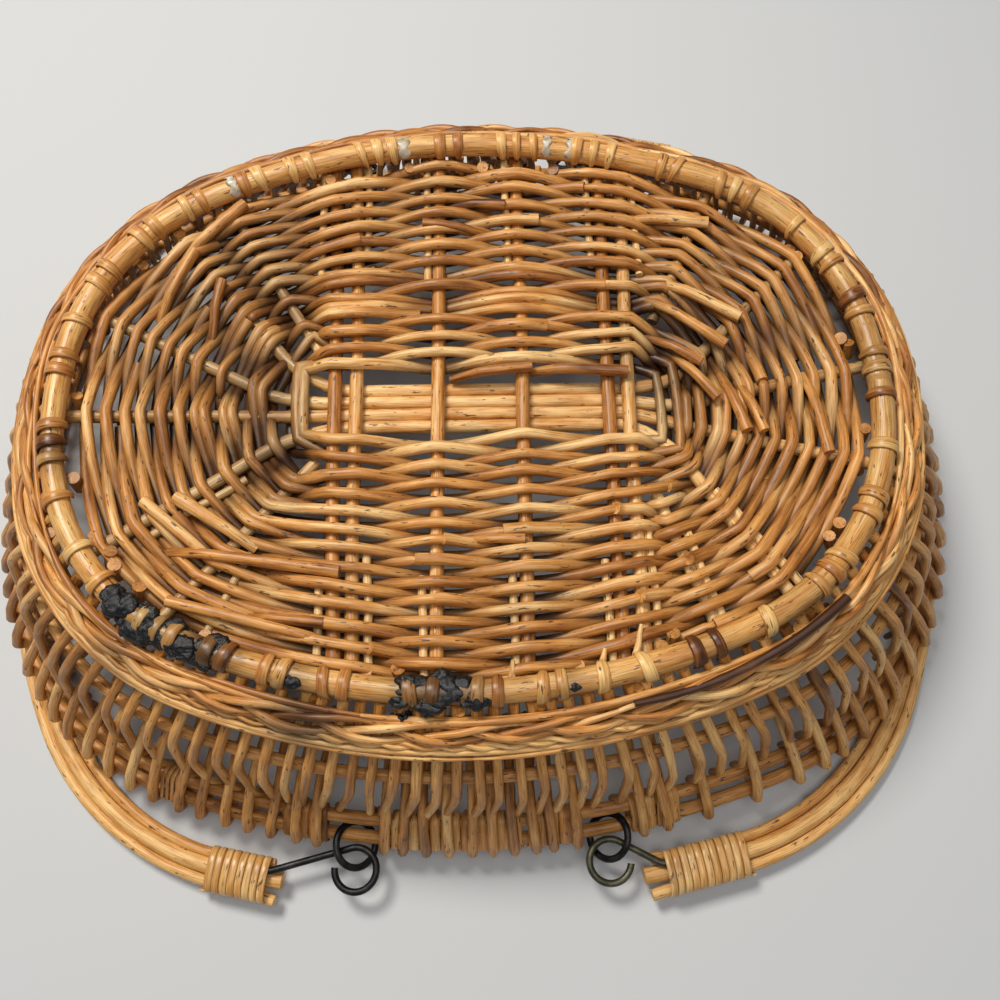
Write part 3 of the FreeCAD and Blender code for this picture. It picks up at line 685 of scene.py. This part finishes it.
def groups_of_end(side, t):
    """Stops of an end: one group at first, then each stick that is woven singly by now."""
    if t < AS_ONE:
        corners = ((87.5 + 95 * t, -21 - 60 * t), (88 + 90 * t, 9 + 60 * t)) if side > 0 else (
            (-75 - 95 * t, 16 + 60 * t), (-75 - 95 * t, -13 - 60 * t))
        return [[(x, y, LONG_Z, LONG_R) for x, y in corners]]
    found, pair = [], []
    for root, tip, woven_from, owner in rays[side]:
        stop = (*(root * (1 - t) + tip * t), LONG_R)
        if t >= woven_from:
            found.append([stop])
        elif woven_from == PAIRED:
            pair.append(stop)
            if len(pair) == 1:
                found.append(pair)
    return found


def crossings(t):
    """Places where a row crosses the sticks, in order, in the groups that it passes as one."""
    front = [group_across(numbers, -1, FRONT_ROW, t) for numbers in ((0, 1), (2,), (3,), (4, 5))]
    back = [group_across(numbers, 1, BACK_ROW, t) for numbers in ((5, 4), (3,), (2,), (1, 0))]
    return front + groups_of_end(1, t) + back + groups_of_end(-1, t)


# %% The line of a row
def row_corners(number):
    """Where the row kinks, over or under each stick."""
    groups = crossings(number / (ROWS - 1))
    stops = [(place, order, k, len(group))
             for order, group in enumerate(groups) for k, place in enumerate(group)]
    corners = []
    for index, (place, order, k, size) in enumerate(stops):
        over = (order + number) % 2 == 0 or (number == 0 and order == len(groups) - 1)
        before, after = stops[index - 1][0], stops[(index + 1) % len(stops)][0]
        heading = np.array([after[0] - before[0], after[1] - before[1]])
        heading /= np.linalg.norm(heading)
        away = np.array([heading[1], -heading[0]]) * chance.normal(0, 0.45)
        height = place[2] + (place[3] + WEAVER_R) * (1 if over else -1) + chance.normal(0, 0.25)
        for end in (-1, 1):
            if size > 1 and not (k == 0 and end < 0) and not (k == size - 1 and end > 0):
                continue
            spot = np.array([place[0], place[1]]) + heading * (end * 1.5) + away
            corners.append(np.array([spot[0], spot[1], height]))
    return corners


def row_line(number):
    """Points of one row as a closed loop: from kink to kink, bowed outwards a little."""
    corners = row_corners(number)
    line = []
    for index, here in enumerate(corners):
        span = corners[(index + 1) % len(corners)] - here
        gap = np.linalg.norm(span)
        side = np.array([span[1], -span[0], 0]) / gap
        steps = 2 if gap < 5 else 7
        for share in np.arange(steps) / steps:
            ease = share * 0.5 + (3 * share**2 - 2 * share**3) * 0.5
            point = here + span * share
            point[2] = here[2] + span[2] * ease
            line.append(point + side * (sin(pi * share) * min(gap**2 / 1700, 3.0)))
    return np.array(line)


# %% Weavers
weavers = []
for number in range(ROWS):
    loop = row_line(number)
    shift = int(chance.integers(0, len(loop)))
    loop = np.roll(loop, -shift, axis=0)
    pieces = 1 if number < 5 else int(chance.choice([2, 2, 3]))
    cuts = [int(len(loop) * k / pieces + chance.integers(-3, 4) * (0 < k < pieces))
            for k in range(pieces + 1)]
    for first, last in zip(cuts, cuts[1:]):
        points = (loop[first : last + 1].copy() if last < len(loop)
                  else np.vstack([loop[first:], loop[:2]]))
        count = len(points)
        butt = chance.uniform(2.6, 3.05)
        radii = np.linspace(butt, chance.uniform(2.2, 2.45), count)
        if chance.random() < 0.35:
            lift = np.array([0, 0, chance.uniform(1.0, 3.0)])
            points[0] = points[1] + (points[0] - points[1]) * 1.6 + lift
        radii[-1] *= 0.6
        tone = 0.72 if number < 2 else float(np.clip(chance.normal(0.5, 0.12), 0.2, 0.8))
        weavers.append(rod(points, radii * knots(count, count * 5.0, 0.06, 60), tone))
half = len(weavers) // 2
# Painted shade darkens the weavers between the rods, most where they dip under the sticks
make_rods("inner_weavers", weavers[:half], willow_base, ["base_weave"],
          painted_shade_and_patches=painted_shade_and_patches_in_weave)
make_rods("outer_weavers", weavers[half:], willow_base, [], painted_shade_and_patches=painted_shade_and_patches_in_weave)

# %% Butts of later weavers
# Cut end and tail of each in the plane of the base, the radius at the cut, and the tone
butt_table = (
    ((-128, -46), (-105, -61), 3.1, 0.62), ((-142, -47.5), (-118, -68), 2.8, 0.66),
    ((-56, -82), (-117, -71.5), 2.9, 0.3), ((-128, -92.5), (-70, -108.5), 2.6, 0.45),
    ((117.6, 87.5), (88, 91.4), 2.8, 0.6), ((127, 34.7), (104, 50.6), 2.9, 0.6),
    ((119, 20.8), (96.4, 40), 2.7, 0.5), ((107, 12.4), (94, 21.7), 2.4, 0.4),
    ((112.4, -6), (103, 8), 2.6, 0.5),
    ((124, -22.6), (119.7, -5.2), 2.8, 0.45), ((131.5, -23), (127.5, -8.5), 2.6, 0.4),
    ((158.8, -34.4), (155.7, -6.4), 2.6, 0.4), ((-106.5, 106), (-127, 86), 2.9, 0.5),
    ((-128.8, 80), (-139, 58), 2.8, 0.4), ((-115, 62.9), (-117.4, 48), 2.6, 0.3),
    ((-50, 84), (-70, 79), 2.8, 0.3), ((-62, -104), (-84, -101), 2.6, 0.2),
    ((20, 101), (4, 103), 2.6, 0.05), ((23, -70), (8, -69), 2.3, 0.3),
    ((-20, 92), (-2, 90), 2.2, 0.2), ((29.5, 12.6), (6, 11.2), 2.5, 0.22),
    ((73, 8.6), (43, 11.6), 2.8, 0.34))
splinters = (((65, -128, 101), (69.4, -109, 104.5)), ((14.7, -131, 99), (15.8, -122, 103)),
             ((52, -127, 100), (54, -118, 102.5)))
butts = []
for cut, tail, radius, tone in butt_table:
    cut, tail = np.array([*cut, 102.6]), np.array([*tail, 101.6])
    end = tail + (tail - cut) / np.linalg.norm(tail - cut) * 14 - np.array([0, 0, 5.5])
    line = resample(np.array([cut, (cut + tail) / 2 + np.array([0, 0, 0.4]), tail, end]), 4.0)
    thick = np.linspace(radius, radius * 0.78, len(line)) * knots(len(line), 40, 0.08, 30)
    butts.append(rod(line, thick, tone))
for foot, tip in splinters:
    line = along_line(foot, tip, 3, 0.2)
    butts.append(rod(line, np.linspace(2.0, 0.9, len(line)), 0.7))
# Painted shade darkens the butts where they dip into the weave
make_rods("weaver_butts", butts, willow_base, [], 10, painted_shade_and_patches_in_weave)

# %% [markdown]
# ## Tongues on the hoop
# The side stakes end in flat shaved tongues that are bent over the hoop, in ones, twos and threes.
# Each is a strip on an arc round the hoop's rod, a little aslant, and tapers where it is tucked in.
# Between them the cut ends of other rods show under the hoop.

# %% Tongues and cut ends
def tongue(share, width):
    """A flat stake end on an arc round the hoop."""
    slant = chance.normal(0, 2.4)
    angles = np.radians(np.r_[-38, np.linspace(-20, chance.uniform(185, 232), 18)])
    reach = HOOP_R + 0.8 + wander(len(angles), 0.1)
    reach[0] += 1.6
    points, normals = [], []
    for k, angle in enumerate(angles):
        place = share + slant * (k / len(angles) - 0.5) / hoop_length
        points.append(around(hoop_oval, place, reach[k], angle, HOOP_Z))
        normals.append(facing(hoop_oval, share, angle))
    widths = width * np.interp(np.arange(len(angles)), [0, 12, 18], [1.0, 0.94, 0.4])
    dark = hypot(points[9][0] - 98, points[9][1] + 122) < 12
    tone = 0.0 if dark else chance.normal(0.52, 0.16)
    return stained(rod(points, 0.65, tone, flat=(widths, normals)), dirt)


def stub(share):
    """A stake cut off upright just inside or outside the hoop."""
    thick = chance.uniform(2.4, 3.0)
    out = -HOOP_R - thick + 0.2 if chance.random() < 0.6 else HOOP_R + thick - 0.4
    top = chance.uniform(98.0, 101.5)
    tip = on_oval(hoop_oval, share, out, top) + np.array([*chance.normal(0, 1.5, 2), 0])
    tail = on_oval(hoop_oval, share, out + (2.5 if out < 0 else 3.5), 90)
    return rod(along_line(tip, tail, 3, 0.1), thick, chance.uniform(0.25, 0.5))


tongues, stubs = [], []
travel, run = 4.0, 0
while travel < hoop_length - 7:
    share = travel / hoop_length
    width = chance.uniform(4.3, 6.4)
    tongues.append(tongue(share, width))
    run += 1
    close = run < chance.integers(1, 4)
    gap = width / 2 + (chance.uniform(4.5, 6.5) if close else chance.uniform(13, 25))
    if not close:
        run = 0
        for part in ((0.5,) if gap < 18 else (0.32, 0.68)):
            stubs.append(stub(share + (width / 2 + (gap - width / 2) * part) / hoop_length))
    travel += gap
make_rods("tongues", tongues, willow_hoop, ["stake_tongues"], 10)
make_rods("cut_stubs", stubs, willow_side, [], 12)

# %% [markdown]
# ## Wale below the hoop
# A band of thin rods holds the tops of the stakes: three are plaited in long strokes, two lie above
# them, and a twisted pair and two plain rods lie below. The band lies on the slope outside the
# stakes, so each strand is placed by how far down the slope it is and how proud of it.

# %% Strands
BAND_SLOPE = radians(42)
BAND_OUT, BAND_TOP = 9.6, 100.4
STRAND_STEPS = 360
STROKES, TWISTS = 12, 46
burnt = [(-70, -142, 96, 16, 0.85), (-150, -112, 96, 14, 0.5)]


def on_band(share, down, proud):
    """Point a way down the slope from the top of the band, and proud of it, in mm."""
    out = BAND_OUT + down * cos(BAND_SLOPE) + proud * sin(BAND_SLOPE)
    height = BAND_TOP - down * sin(BAND_SLOPE) + proud * cos(BAND_SLOPE)
    return on_oval(hoop_oval, share, out, height)


def strand_rods(down, proud, radius, pieces, tone=0.5, varied=0.14):
    """A strand laid with several rods that taper and overlap a little."""
    made = []
    starts = np.arange(pieces) / pieces + chance.uniform(-0.06, 0.06, pieces)
    cuts = np.sort(starts * STRAND_STEPS).astype(int)
    for k, first in enumerate(cuts):
        last = cuts[(k + 1) % pieces] + (STRAND_STEPS if k == pieces - 1 else 0) + 4
        shares = np.arange(first, last) / STRAND_STEPS
        count = len(shares)
        points = [on_band(s, down(s), proud(s)) for s in shares]
        tips = np.minimum(1, 0.45 + np.minimum(np.arange(count), count - 1 - np.arange(count)) / 14)
        thick = radius * np.linspace(1.1, 0.82, count) * tips * knots(count, count * 3.0, 0.05, 70)
        made.append(stained(rod(points, thick, chance.normal(tone, varied)), burnt))
    return made


# %% Wale
wale, pair, inside = [], [], []
for k in range(3):
    phase = tau * k / 3
    wale += strand_rods(
        lambda s, p=phase: 6.6 + 3.9 * sin(tau * STROKES * s + p) + 0.8 * sin(31 * s + p),
        lambda s, p=phase: 1.5 + 1.5 * sin(2 * tau * STROKES * s + 2 * p), 1.95, 4)
for k in range(2):
    wale += strand_rods(lambda s, p=k: 0.3 + 1.5 * p + 0.9 * sin(tau * 7 * s + p * 2.6),
                        lambda s, p=k: 0.8 + 0.9 * sin(tau * 9 * s + p * 3), 1.55, 4, 0.45)
# Painted shade darkens the plait towards the inside of the wall
make_rods("wale_plait", wale, willow_base, ["wale_outer_rods"], 8, painted_shade_inside_wall)
for k in range(2):
    pair += strand_rods(lambda s, p=k: 13.0 + 1.15 * sin(tau * TWISTS * s + pi * p),
                        lambda s, p=k: 0.9 + 1.1 * cos(tau * TWISTS * s + pi * p), 1.15, 3, 0.55)
pair += strand_rods(lambda s: 16.4 + 0.5 * sin(40 * s),
                    lambda s: 0.9 + 0.3 * sin(53 * s), 1.5, 4, 0.5)
pair += strand_rods(lambda s: 18.6 + 0.4 * sin(37 * s),
                    lambda s: 1.0 + 0.3 * sin(61 * s), 1.2, 4, 0.6)
make_rods("wale_pair", pair, willow_side, [], 8)
for k in range(2):
    inside += strand_rods(lambda s, p=k: 9.0 + 4.0 * p + 0.5 * sin(45 * s),
                          lambda s: -6.6 + 0.4 * sin(60 * s), 1.7, 3)
make_rods("wale_inside", inside, willow_side, ["wale_inner_rods"], 8)

# %% A dark rod in the wale
first, last = share_near(hoop_oval, 62, -130), share_near(hoop_oval, 150, -93)
line = [on_band(s, 1.2 + 1.3 * sin(60 * (s - first)), 3.6) for s in np.linspace(first, last, 46)]
dark_rod = rod(line, np.linspace(1.5, 2.2, 46) * knots(46, 120, 0.1, 30), -0.1, stain_and_shade=0.55)
make_rods("dark_wale_rod", [dark_rod], willow_base, [])

# %% [markdown]
# ## Openwork side
# Two layers of stakes cross. The outer ones leave the band, pass in front of the middle ring, kink
# below it and end inside the rim. The inner ones pass behind the ring, come out in front and hook
# under the rim. All stand closer together on the long sides than at the ends. Below the kink the
# outer ones turn aside and cross the inner ones, which makes the diamonds.

# %% Stakes
WALL_OUT, WALL_UP = 0.854, 0.52  # the way out of the sloping wall
STAKE_WAY = 1180.0  # mm round the wall, for places that go aside
STAKES = 116


def on_wall(share, height, proud):
    """Point on the flared side at a height, and proud of it by some millimetres."""
    if height >= RING_Z:
        upper, lower, blend = hoop_oval, ring_oval, (height - RING_Z) / (HOOP_Z - RING_Z)
    else:
        upper, lower, blend = ring_oval, rim_oval, (height - RIM_Z) / (RING_Z - RIM_Z)
    point = on_oval(upper, share) * blend + on_oval(lower, share) * (1 - blend)
    point = point + outward(ring_oval, share) * (proud * WALL_OUT)
    return np.array([point[0], point[1], height + proud * WALL_UP])


def stake(share, marks, tone, thick):
    """Marks are height, proud and sideways place in mm, down the side."""
    line = np.array([on_wall(share + mark[2] / STAKE_WAY, mark[0], mark[1]) for mark in marks])
    line = smoothed(resample(line, 2.6), 2)
    radii = np.linspace(*thick, len(line)) * knots(len(line), len(line) * 2.6, 0.09, 40)
    return rod(line, radii, tone)


def stake_share(place):
    """Share of the way round of a stake's number."""
    u = place / STAKES
    return u + 0.014 * sin(2 * tau * u)


def leaning(share, size):
    """How far a stake leans along the oval, most at the ends."""
    return sin(tau * (share - 0.75)) * size + chance.normal(0, 0.9)


# %% Outer stakes
# How far a stake's lower run goes aside below the kink, in mm, by its share of the way round
turn_places = [0.0, 0.2, 0.3, 0.5, 0.60, 0.67, 0.70, 0.80, 0.83, 0.92, 1.0]
turn_sizes = [-3.0, -5.0, 5.0, 5.0, 8.0, 9.0, -6.5, -6.5, -2.5, -2.5, -3.0]
LINK_ROOM = 5.6  # kept free on each side of a rim link
outer = []
for k in range(STAKES):
    share = stake_share(k + chance.normal(0, 0.08))
    lean = leaning(share, 3.6)
    aside = lean + float(np.interp(share % 1.0, turn_places, turn_sizes)) + chance.normal(0, 1.0)
    foot = on_oval(rim_oval, share + aside / STAKE_WAY)
    past = foot[0] - copysign(HINGE_X, foot[0])
    if abs(past) < LINK_ROOM and abs(foot[1]) > 150:
        aside -= (copysign(LINK_ROOM, past) - past) * copysign(1, foot[1])
    kink = 58 + chance.normal(0, 2.2)
    thick = chance.uniform(2.35, 2.95)
    outer.append(stake(share, [
        (101, 1.5, 0), (93, 1.9, lean * 0.1), (RING_Z + 3, 5.8, lean * 0.6),
        (kink, 5.4 + chance.normal(0, 0.4), lean), (38, 1.0, lean + (aside - lean) * 0.7),
        (29, -6.5, aside), (22, -11.0, aside * 1.1)],
        chance.normal(0.52, 0.14), (thick, thick * 0.66)))

# %% Inner stakes
HOOK_ROOM = 11.8  # no stake hooks under the rim so near a link
inner = []
for k in range(STAKES):
    share = stake_share(k + 0.42 + chance.normal(0, 0.08))
    foot = on_oval(rim_oval, share)
    bare = foot[1] < 0 and 84 < foot[0] < 150 and k % 2 == 0
    if abs(abs(foot[0]) - HINGE_X) < HOOK_ROOM and abs(foot[1]) > 150 or bare:
        continue
    lean = leaning(share, 1.6)
    reach = RIM_R + 2.45
    item = stake(share, [
        (90, -4.6, 1.0), (RING_Z, -5.6, 0.5), (57, -3.4, lean), (44, 1.6, lean),
        (29, 4.7, lean * 0.6), (19, reach / WALL_OUT, 0)], chance.normal(0.54, 0.14), (2.0, 2.55))
    hook = [around(rim_oval, share, reach, angle, RIM_Z)
            for angle in np.radians(np.linspace(8, chance.uniform(-215, -170), 13))]
    tail = on_oval(rim_oval, share, -RIM_R - 4.0, RIM_Z + 9)
    line = np.vstack([item["points"][:-2], smoothed(np.array(hook + [tail]), 1)])
    radii = np.r_[item["radii"][:-2], np.linspace(2.5, 1.3, len(hook) + 1)]
    inner.append(rod(line, radii, item["tone"]))
# Painted shade darkens the stakes towards the inside of the wall
make_rods("outer_side_stakes", outer, willow_side, ["outer_stakes"], 8, painted_shade_inside_wall)
make_rods("inner_side_stakes", inner, willow_side, ["inner_stakes"], 8, painted_shade_inside_wall)

# %% [markdown]
# ## Wraps on the rim
# On the long sides, flat stake ends wind round both rim rods between the stakes, and near one
# link a few turns of thin skein do. Each is a strip along a loop that hugs the two rods.

# %% Rim wraps
def rim_loop(share, clearance, slant, turns):
    """Loop round the two rim rods with its outward normals."""
    points, normals = [], []
    for step in range(int(30 * turns) + 1):
        angle = radians(360 * step / 30 - 100)
        on_upper = cos(angle) * UPPER_RIM_OUT + sin(angle) * UPPER_RIM_UP > 0
        out, up = (UPPER_RIM_OUT, UPPER_RIM_UP) if on_upper else (0, 0)
        place = share + slant * step / 30 / rim_length
        points.append(around(rim_oval, place, RIM_R + clearance, angle, RIM_Z + up, out))
        normals.append(facing(rim_oval, place, angle))
    return points, normals


wraps, thin_wraps = [], []
for k in range(STAKES):
    for part in (0.3, 0.72):
        share = stake_share(k + part + 0.5)
        foot = on_oval(rim_oval, share)
        if abs(foot[0]) > 90 or abs(foot[1]) < 120 or abs(abs(foot[0]) - HINGE_X) < 12:
            continue
        points, normals = rim_loop(share, 0.95, chance.normal(0, 2), 1.0)
        tone, wide = chance.normal(0.5, 0.15), chance.uniform(4.0, 5.6)
        wraps.append(rod(points, 0.75, tone, flat=(wide, normals)))
for share in (share_near(rim_oval, 77, -186), share_near(rim_oval, -151, -163)):
    points, normals = rim_loop(share, 0.8, 2.6, 5.0)
    thin_wraps.append(rod(points, 0.5, 0.5, flat=(2.0, normals)))
make_rods("flat_rim_wraps", wraps, willow_side, ["rim_wraps"], 8)
make_rods("thin_rim_wraps", thin_wraps, willow_skein, [], 8)

# %% [markdown]
# ## Handles
# Each handle is a stout rod with a thinner one on each side of it. It is laid out flat in its own
# plane, as in the CAD model, and then tipped about the hinge line until its far end rests on the
# table. The rods' ends splay a little beyond the binding, as cut willow does.

# %% A handle's own plane
WIRE_R, CORE_R, PLAY = 1.65, 3.75, 0.15
ROD_LEVEL = -(WIRE_R + CORE_R) - PLAY
TILT = asin((RIM_Z - WIRE_R - 2 * CORE_R - PLAY) / (HANDLE[0] - HINGE_X))


def laid_down(points, side):
    """From the handle's own plane to where it lies."""
    points = np.asarray(points, float)
    x, z = points[:, 0] - HINGE_X, points[:, 2]
    return np.stack([side * (x * cos(TILT) + z * sin(TILT) + HINGE_X), points[:, 1],
                     z * cos(TILT) - x * sin(TILT) + RIM_Z], 1)


def handle_line(offset, tip_x, splay):
    """Half oval from the front tip round the end to the back tip."""
    first = share_near(handle_oval, tip_x, -HANDLE[1]) - 1.0
    shares = np.linspace(first, share_near(handle_oval, tip_x, HANDLE[1]), 180)
    sway, lift = wander(180, 0.5, 7), wander(180, 0.12, 7)
    line = []
    for k, share in enumerate(shares):
        end = max(0.0, 1 - min(k, 179 - k) / 9.0)
        out = offset + sway[k] + splay * end**2
        line.append(on_oval(handle_oval, share, out, ROD_LEVEL + lift[k]))
    return np.array(line)


def binding(side, face, turns, start, length):
    """Skein wound round the rods near the front (-1) or back (1) tips of a handle."""
    middle_x = HINGE_X + start + length / 2
    edge = HANDLE[1] - HANDLE_SIDE_RADIUS + sqrt(HANDLE_SIDE_RADIUS**2 - middle_x**2)
    slope = -middle_x / (edge - HANDLE[1] + HANDLE_SIDE_RADIUS)
    along = np.array([1, face * slope, 0]) / hypot(1, slope)
    across = np.array([along[1], -along[0], 0]) * -face
    centre = np.array([middle_x, face * edge, (WIRE_R + ROD_LEVEL - CORE_R) / 2]) + across * 0.1
    pitch = (length - 1.0) / turns
    wide, tall = 9.9, 6.3
    points, normals = [], []
    for step in range(turns * 24 + 1):
        angle = tau * step / 24
        out, up = cos(angle), sin(angle)
        points.append(centre + along * (pitch * (step / 24 - turns / 2))
                      + across * (wide * abs(out) ** 0.8 * np.sign(out))
                      + np.array([0, 0, tall * abs(up) ** 0.8 * np.sign(up)]))
        normals.append(across * out / wide + np.array([0, 0, up / tall]))
    points, ahead = laid_down(points, side), laid_down(np.array(points) + np.array(normals), side)
    return rod(points, 0.55, chance.normal(0.6, 0.05), flat=(pitch * 0.97, ahead - points))


# %% Handle rods and bindings
for side, name, turns, tip_offset, start, length in (
        (-1, "left", 8, 36.0, 41.0, 30.0), (1, "right", 11, 16.0, 26.0, 40.0)):
    rods = []
    for offset, radius, further, splay, tone in (
            (0.0, CORE_R, 1.0, 0.0, 0.7), (6.5, 2.6, 3.0, 2.0, 0.8), (-6.4, 2.5, 6.0, -1.0, 0.5)):
        line = laid_down(handle_line(offset, HINGE_X + tip_offset + further, splay), side)
        radii = radius * knots(len(line), 620, 0.07, 60) * np.linspace(1.02, 0.93, len(line))
        rods.append(rod(line, radii, tone))
    nodes = [name + "_handle_core_rod", name + "_handle_outer_rod", name + "_handle_inner_rod"]
    make_rods(name + "_handle_rods", rods, willow_side, nodes, 12,
              body=name + "_handle")
    for face, place in ((-1, "front"), (1, "back")):
        strip = binding(side, face, turns, start, length)
        make_rods("%s_%s_skein" % (name, place), [strip], willow_skein,
                  ["%s_%s_binding" % (name, place)], body=name + "_handle")

# %% [markdown]
# ## Iron wire
# The rings on the rim and the eyes on the handles are blackened iron wire, worn smooth, and one
# eye still has olive grey paint. The CAD solids have the right shape, so they stay and only get a
# material: dark, a little rough, with paler rubbed patches.

# %% Wire material
def iron_wire(name, body_colour, worn_colour):
    made, tree, shader = new_material(name)
    place = object_place(tree)
    wear = cloudy(tree, place, 160.0, 4.0, 0.65)
    colour = ramp(tree, wear, [(0.45, linear(body_colour)), (0.72, linear(worn_colour))])
    tree.links.new(colour, shader.inputs["Base Color"])
    shader.inputs["Metallic"].default_value = 0.6
    tree.links.new(spread(tree, wear, 0.5, 0.32), shader.inputs["Roughness"])
    bump(tree, shader, cloudy(tree, place, 1500.0, 2.0), 0.35, 0.1)
    return made


black_iron = iron_wire("blackened iron wire", "#16161A", "#3C3A38")
olive_iron = iron_wire("olive painted iron wire", "#3E3D2E", "#6A6652")
for node_name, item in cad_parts.items():
    if "rim_link" in node_name or "wire_eye" in node_name:
        iron = olive_iron if node_name == "right_front_wire_eye" else black_iron
        item.data.materials.clear()
        item.data.materials.append(iron)
        for face in item.data.polygons:
            face.use_smooth = True

# %% [markdown]
# ## Old repairs
# Somebody has mended the hoop with black mastic, in lumps, and with glue that has dried pale.
# The lumps are small spheres pushed in and out by noise; the glue is a thin skin round the hoop.

# %% Mastic
def black_mastic():
    made, tree, shader = new_material("black mastic")
    grain = cloudy(tree, object_place(tree), 700.0, 5.0, 0.7)
    tree.links.new(ramp(tree, grain, [(0.45, linear("#08080A")), (0.85, linear("#26292D"))]),
                   shader.inputs["Base Color"])
    shader.inputs["Roughness"].default_value = 0.26
    bump(tree, shader, grain, 0.8, 0.6)
    return made


def lumps(name, places, material):
    """Rough lumps at x, y, z with a size along each axis, in mm."""
    whole = bmesh.new()
    for x, y, z, wide, deep, tall in places:
        ball = bmesh.new()
        bmesh.ops.create_icosphere(ball, subdivisions=4, radius=1.0)
        for vert in ball.verts:
            where = vert.co * 2.3 + Vector((x, y, z)) * 0.37
            push = 1.12 + 0.36 * noise.noise(where * 0.7) + 0.16 * noise.noise(where * 1.9)
            vert.co = Vector((vert.co.x * wide * push + x, vert.co.y * deep * push + y,
                              vert.co.z * tall * push + z)) * MM
        part = bpy.data.meshes.new("lump")
        ball.to_mesh(part)
        ball.free()
        whole.from_mesh(part)
        bpy.data.meshes.remove(part)
    for face in whole.faces:
        face.smooth = True
    mesh = bpy.data.meshes.new(name)
    whole.to_mesh(mesh)
    whole.free()
    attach(show(name, mesh, material), "basket")
    print(name, len(mesh.polygons), "triangles")


mastic = [(-73, -129, 108.5, 3.2, 2.6, 2.0), (40, -134.5, 109, 2.6, 1.8, 1.3),
          (-29, -143, 98, 3, 3, 4)]
for first, last, count in (((-151, -93), (-105, -123), 22), ((-30, -138), (5, -135), 15)):
    for share in np.linspace(share_near(hoop_oval, *first), share_near(hoop_oval, *last), count):
        size = chance.uniform(2.8, 4.8)
        out = chance.uniform(-3.5, 5.5)
        surface = HOOP_Z + sqrt(30 - out * out * 0.9)
        x, y, z = on_oval(hoop_oval, share, out, surface - 1.5 - chance.uniform(0, 2.0))
        mastic.append((x, y, z, size * 1.15, size, size * 0.62))
lumps("mastic_lumps", mastic, black_mastic())

# %% Glue
pale_glue = two_shades("dried glue", 300.0, 4.0, ((0.35, "#A08C6C"), (0.65, "#D6CDBE")), 0.3)
glue = []
for x, y, wide in ((-29, 135, 7.0), (55, 131, 9.0), (42, 133, 5.0), (-108, 104, 6.0)):
    share = share_near(hoop_oval, x, y)
    angles = np.radians(np.linspace(20, 175, 14))
    reach = HOOP_R + 0.35
    points = [around(hoop_oval, share, reach, angle, HOOP_Z) for angle in angles]
    normals = [facing(hoop_oval, share, angle) for angle in angles]
    widths = wide * (0.8 + 0.3 * np.sin(np.arange(14) * 1.3))
    glue.append(rod(points, 0.35, 0.5, flat=(widths, normals)))
make_rods("dried_glue", glue, pale_glue, [], 8)

# %% [markdown]
# ## Light, floor and camera
# The floor is plain and pale. A small lamp high behind the basket on the left is the window, a
# broader one above is the ceiling, and an even pale world fills in. The camera has the height,
# pitch and focal length worked out from the ovals in the photograph.

# %% Floor and light
pale, _, shader = new_material("plain pale floor")
shader.inputs["Base Color"].default_value = linear("#C9CBCE")
shader.inputs["Roughness"].default_value = 0.9
plane = bmesh.new()
bmesh.ops.create_grid(plane, x_segments=2, y_segments=2, size=6.0)
floor_mesh = bpy.data.meshes.new("floor")
plane.to_mesh(floor_mesh)
plane.free()
show("floor", floor_mesh, pale)


def lamp(name, place, size, power, colour):
    """A round area lamp that faces the basket."""
    data = bpy.data.lights.new(name, "AREA")
    data.shape, data.size, data.energy, data.color = "DISK", size, power, linear(colour)[:3]
    made = bpy.data.objects.new(name, data)
    made.location = place
    made.rotation_euler = (Vector((0, 0, 0.05)) - Vector(place)).to_track_quat("-Z", "Y").to_euler()
    bpy.context.scene.collection.objects.link(made)


lamp("window", (-0.5, 0.55, 1.45), 0.5, 22, "#FFFAF0")
lamp("ceiling", (0.15, -0.35, 1.7), 1.0, 8, "#FFFDF8")
world = bpy.data.worlds.new("room")
bpy.context.scene.world = world
world.use_nodes = True
world.node_tree.nodes["Background"].inputs["Color"].default_value = linear("#EEF2F7")
world.node_tree.nodes["Background"].inputs["Strength"].default_value = 0.19

# %% Camera
pitch, turn, roll = radians(69.653), radians(1.267), radians(-0.58)
forward = Vector((cos(pitch) * sin(turn), cos(pitch) * cos(turn), -sin(pitch)))
right = Vector((cos(turn), -sin(turn), 0))
upward = right.cross(forward)
right, upward = (right * cos(roll) + upward * sin(roll), upward * cos(roll) - right * sin(roll))
camera_data = bpy.data.cameras.new("camera")
camera_data.sensor_width, camera_data.lens = 36.0, 36.0
camera = bpy.data.objects.new("camera", camera_data)
bpy.context.scene.collection.objects.link(camera)
axes = Matrix((right, upward, -forward)).transposed().to_4x4()
camera.matrix_world = Matrix.Translation(Vector((9.5, -202.7, 509.0)) * MM) @ axes
bpy.context.scene.camera = camera
bpy.context.scene.view_settings.view_transform = "Standard"
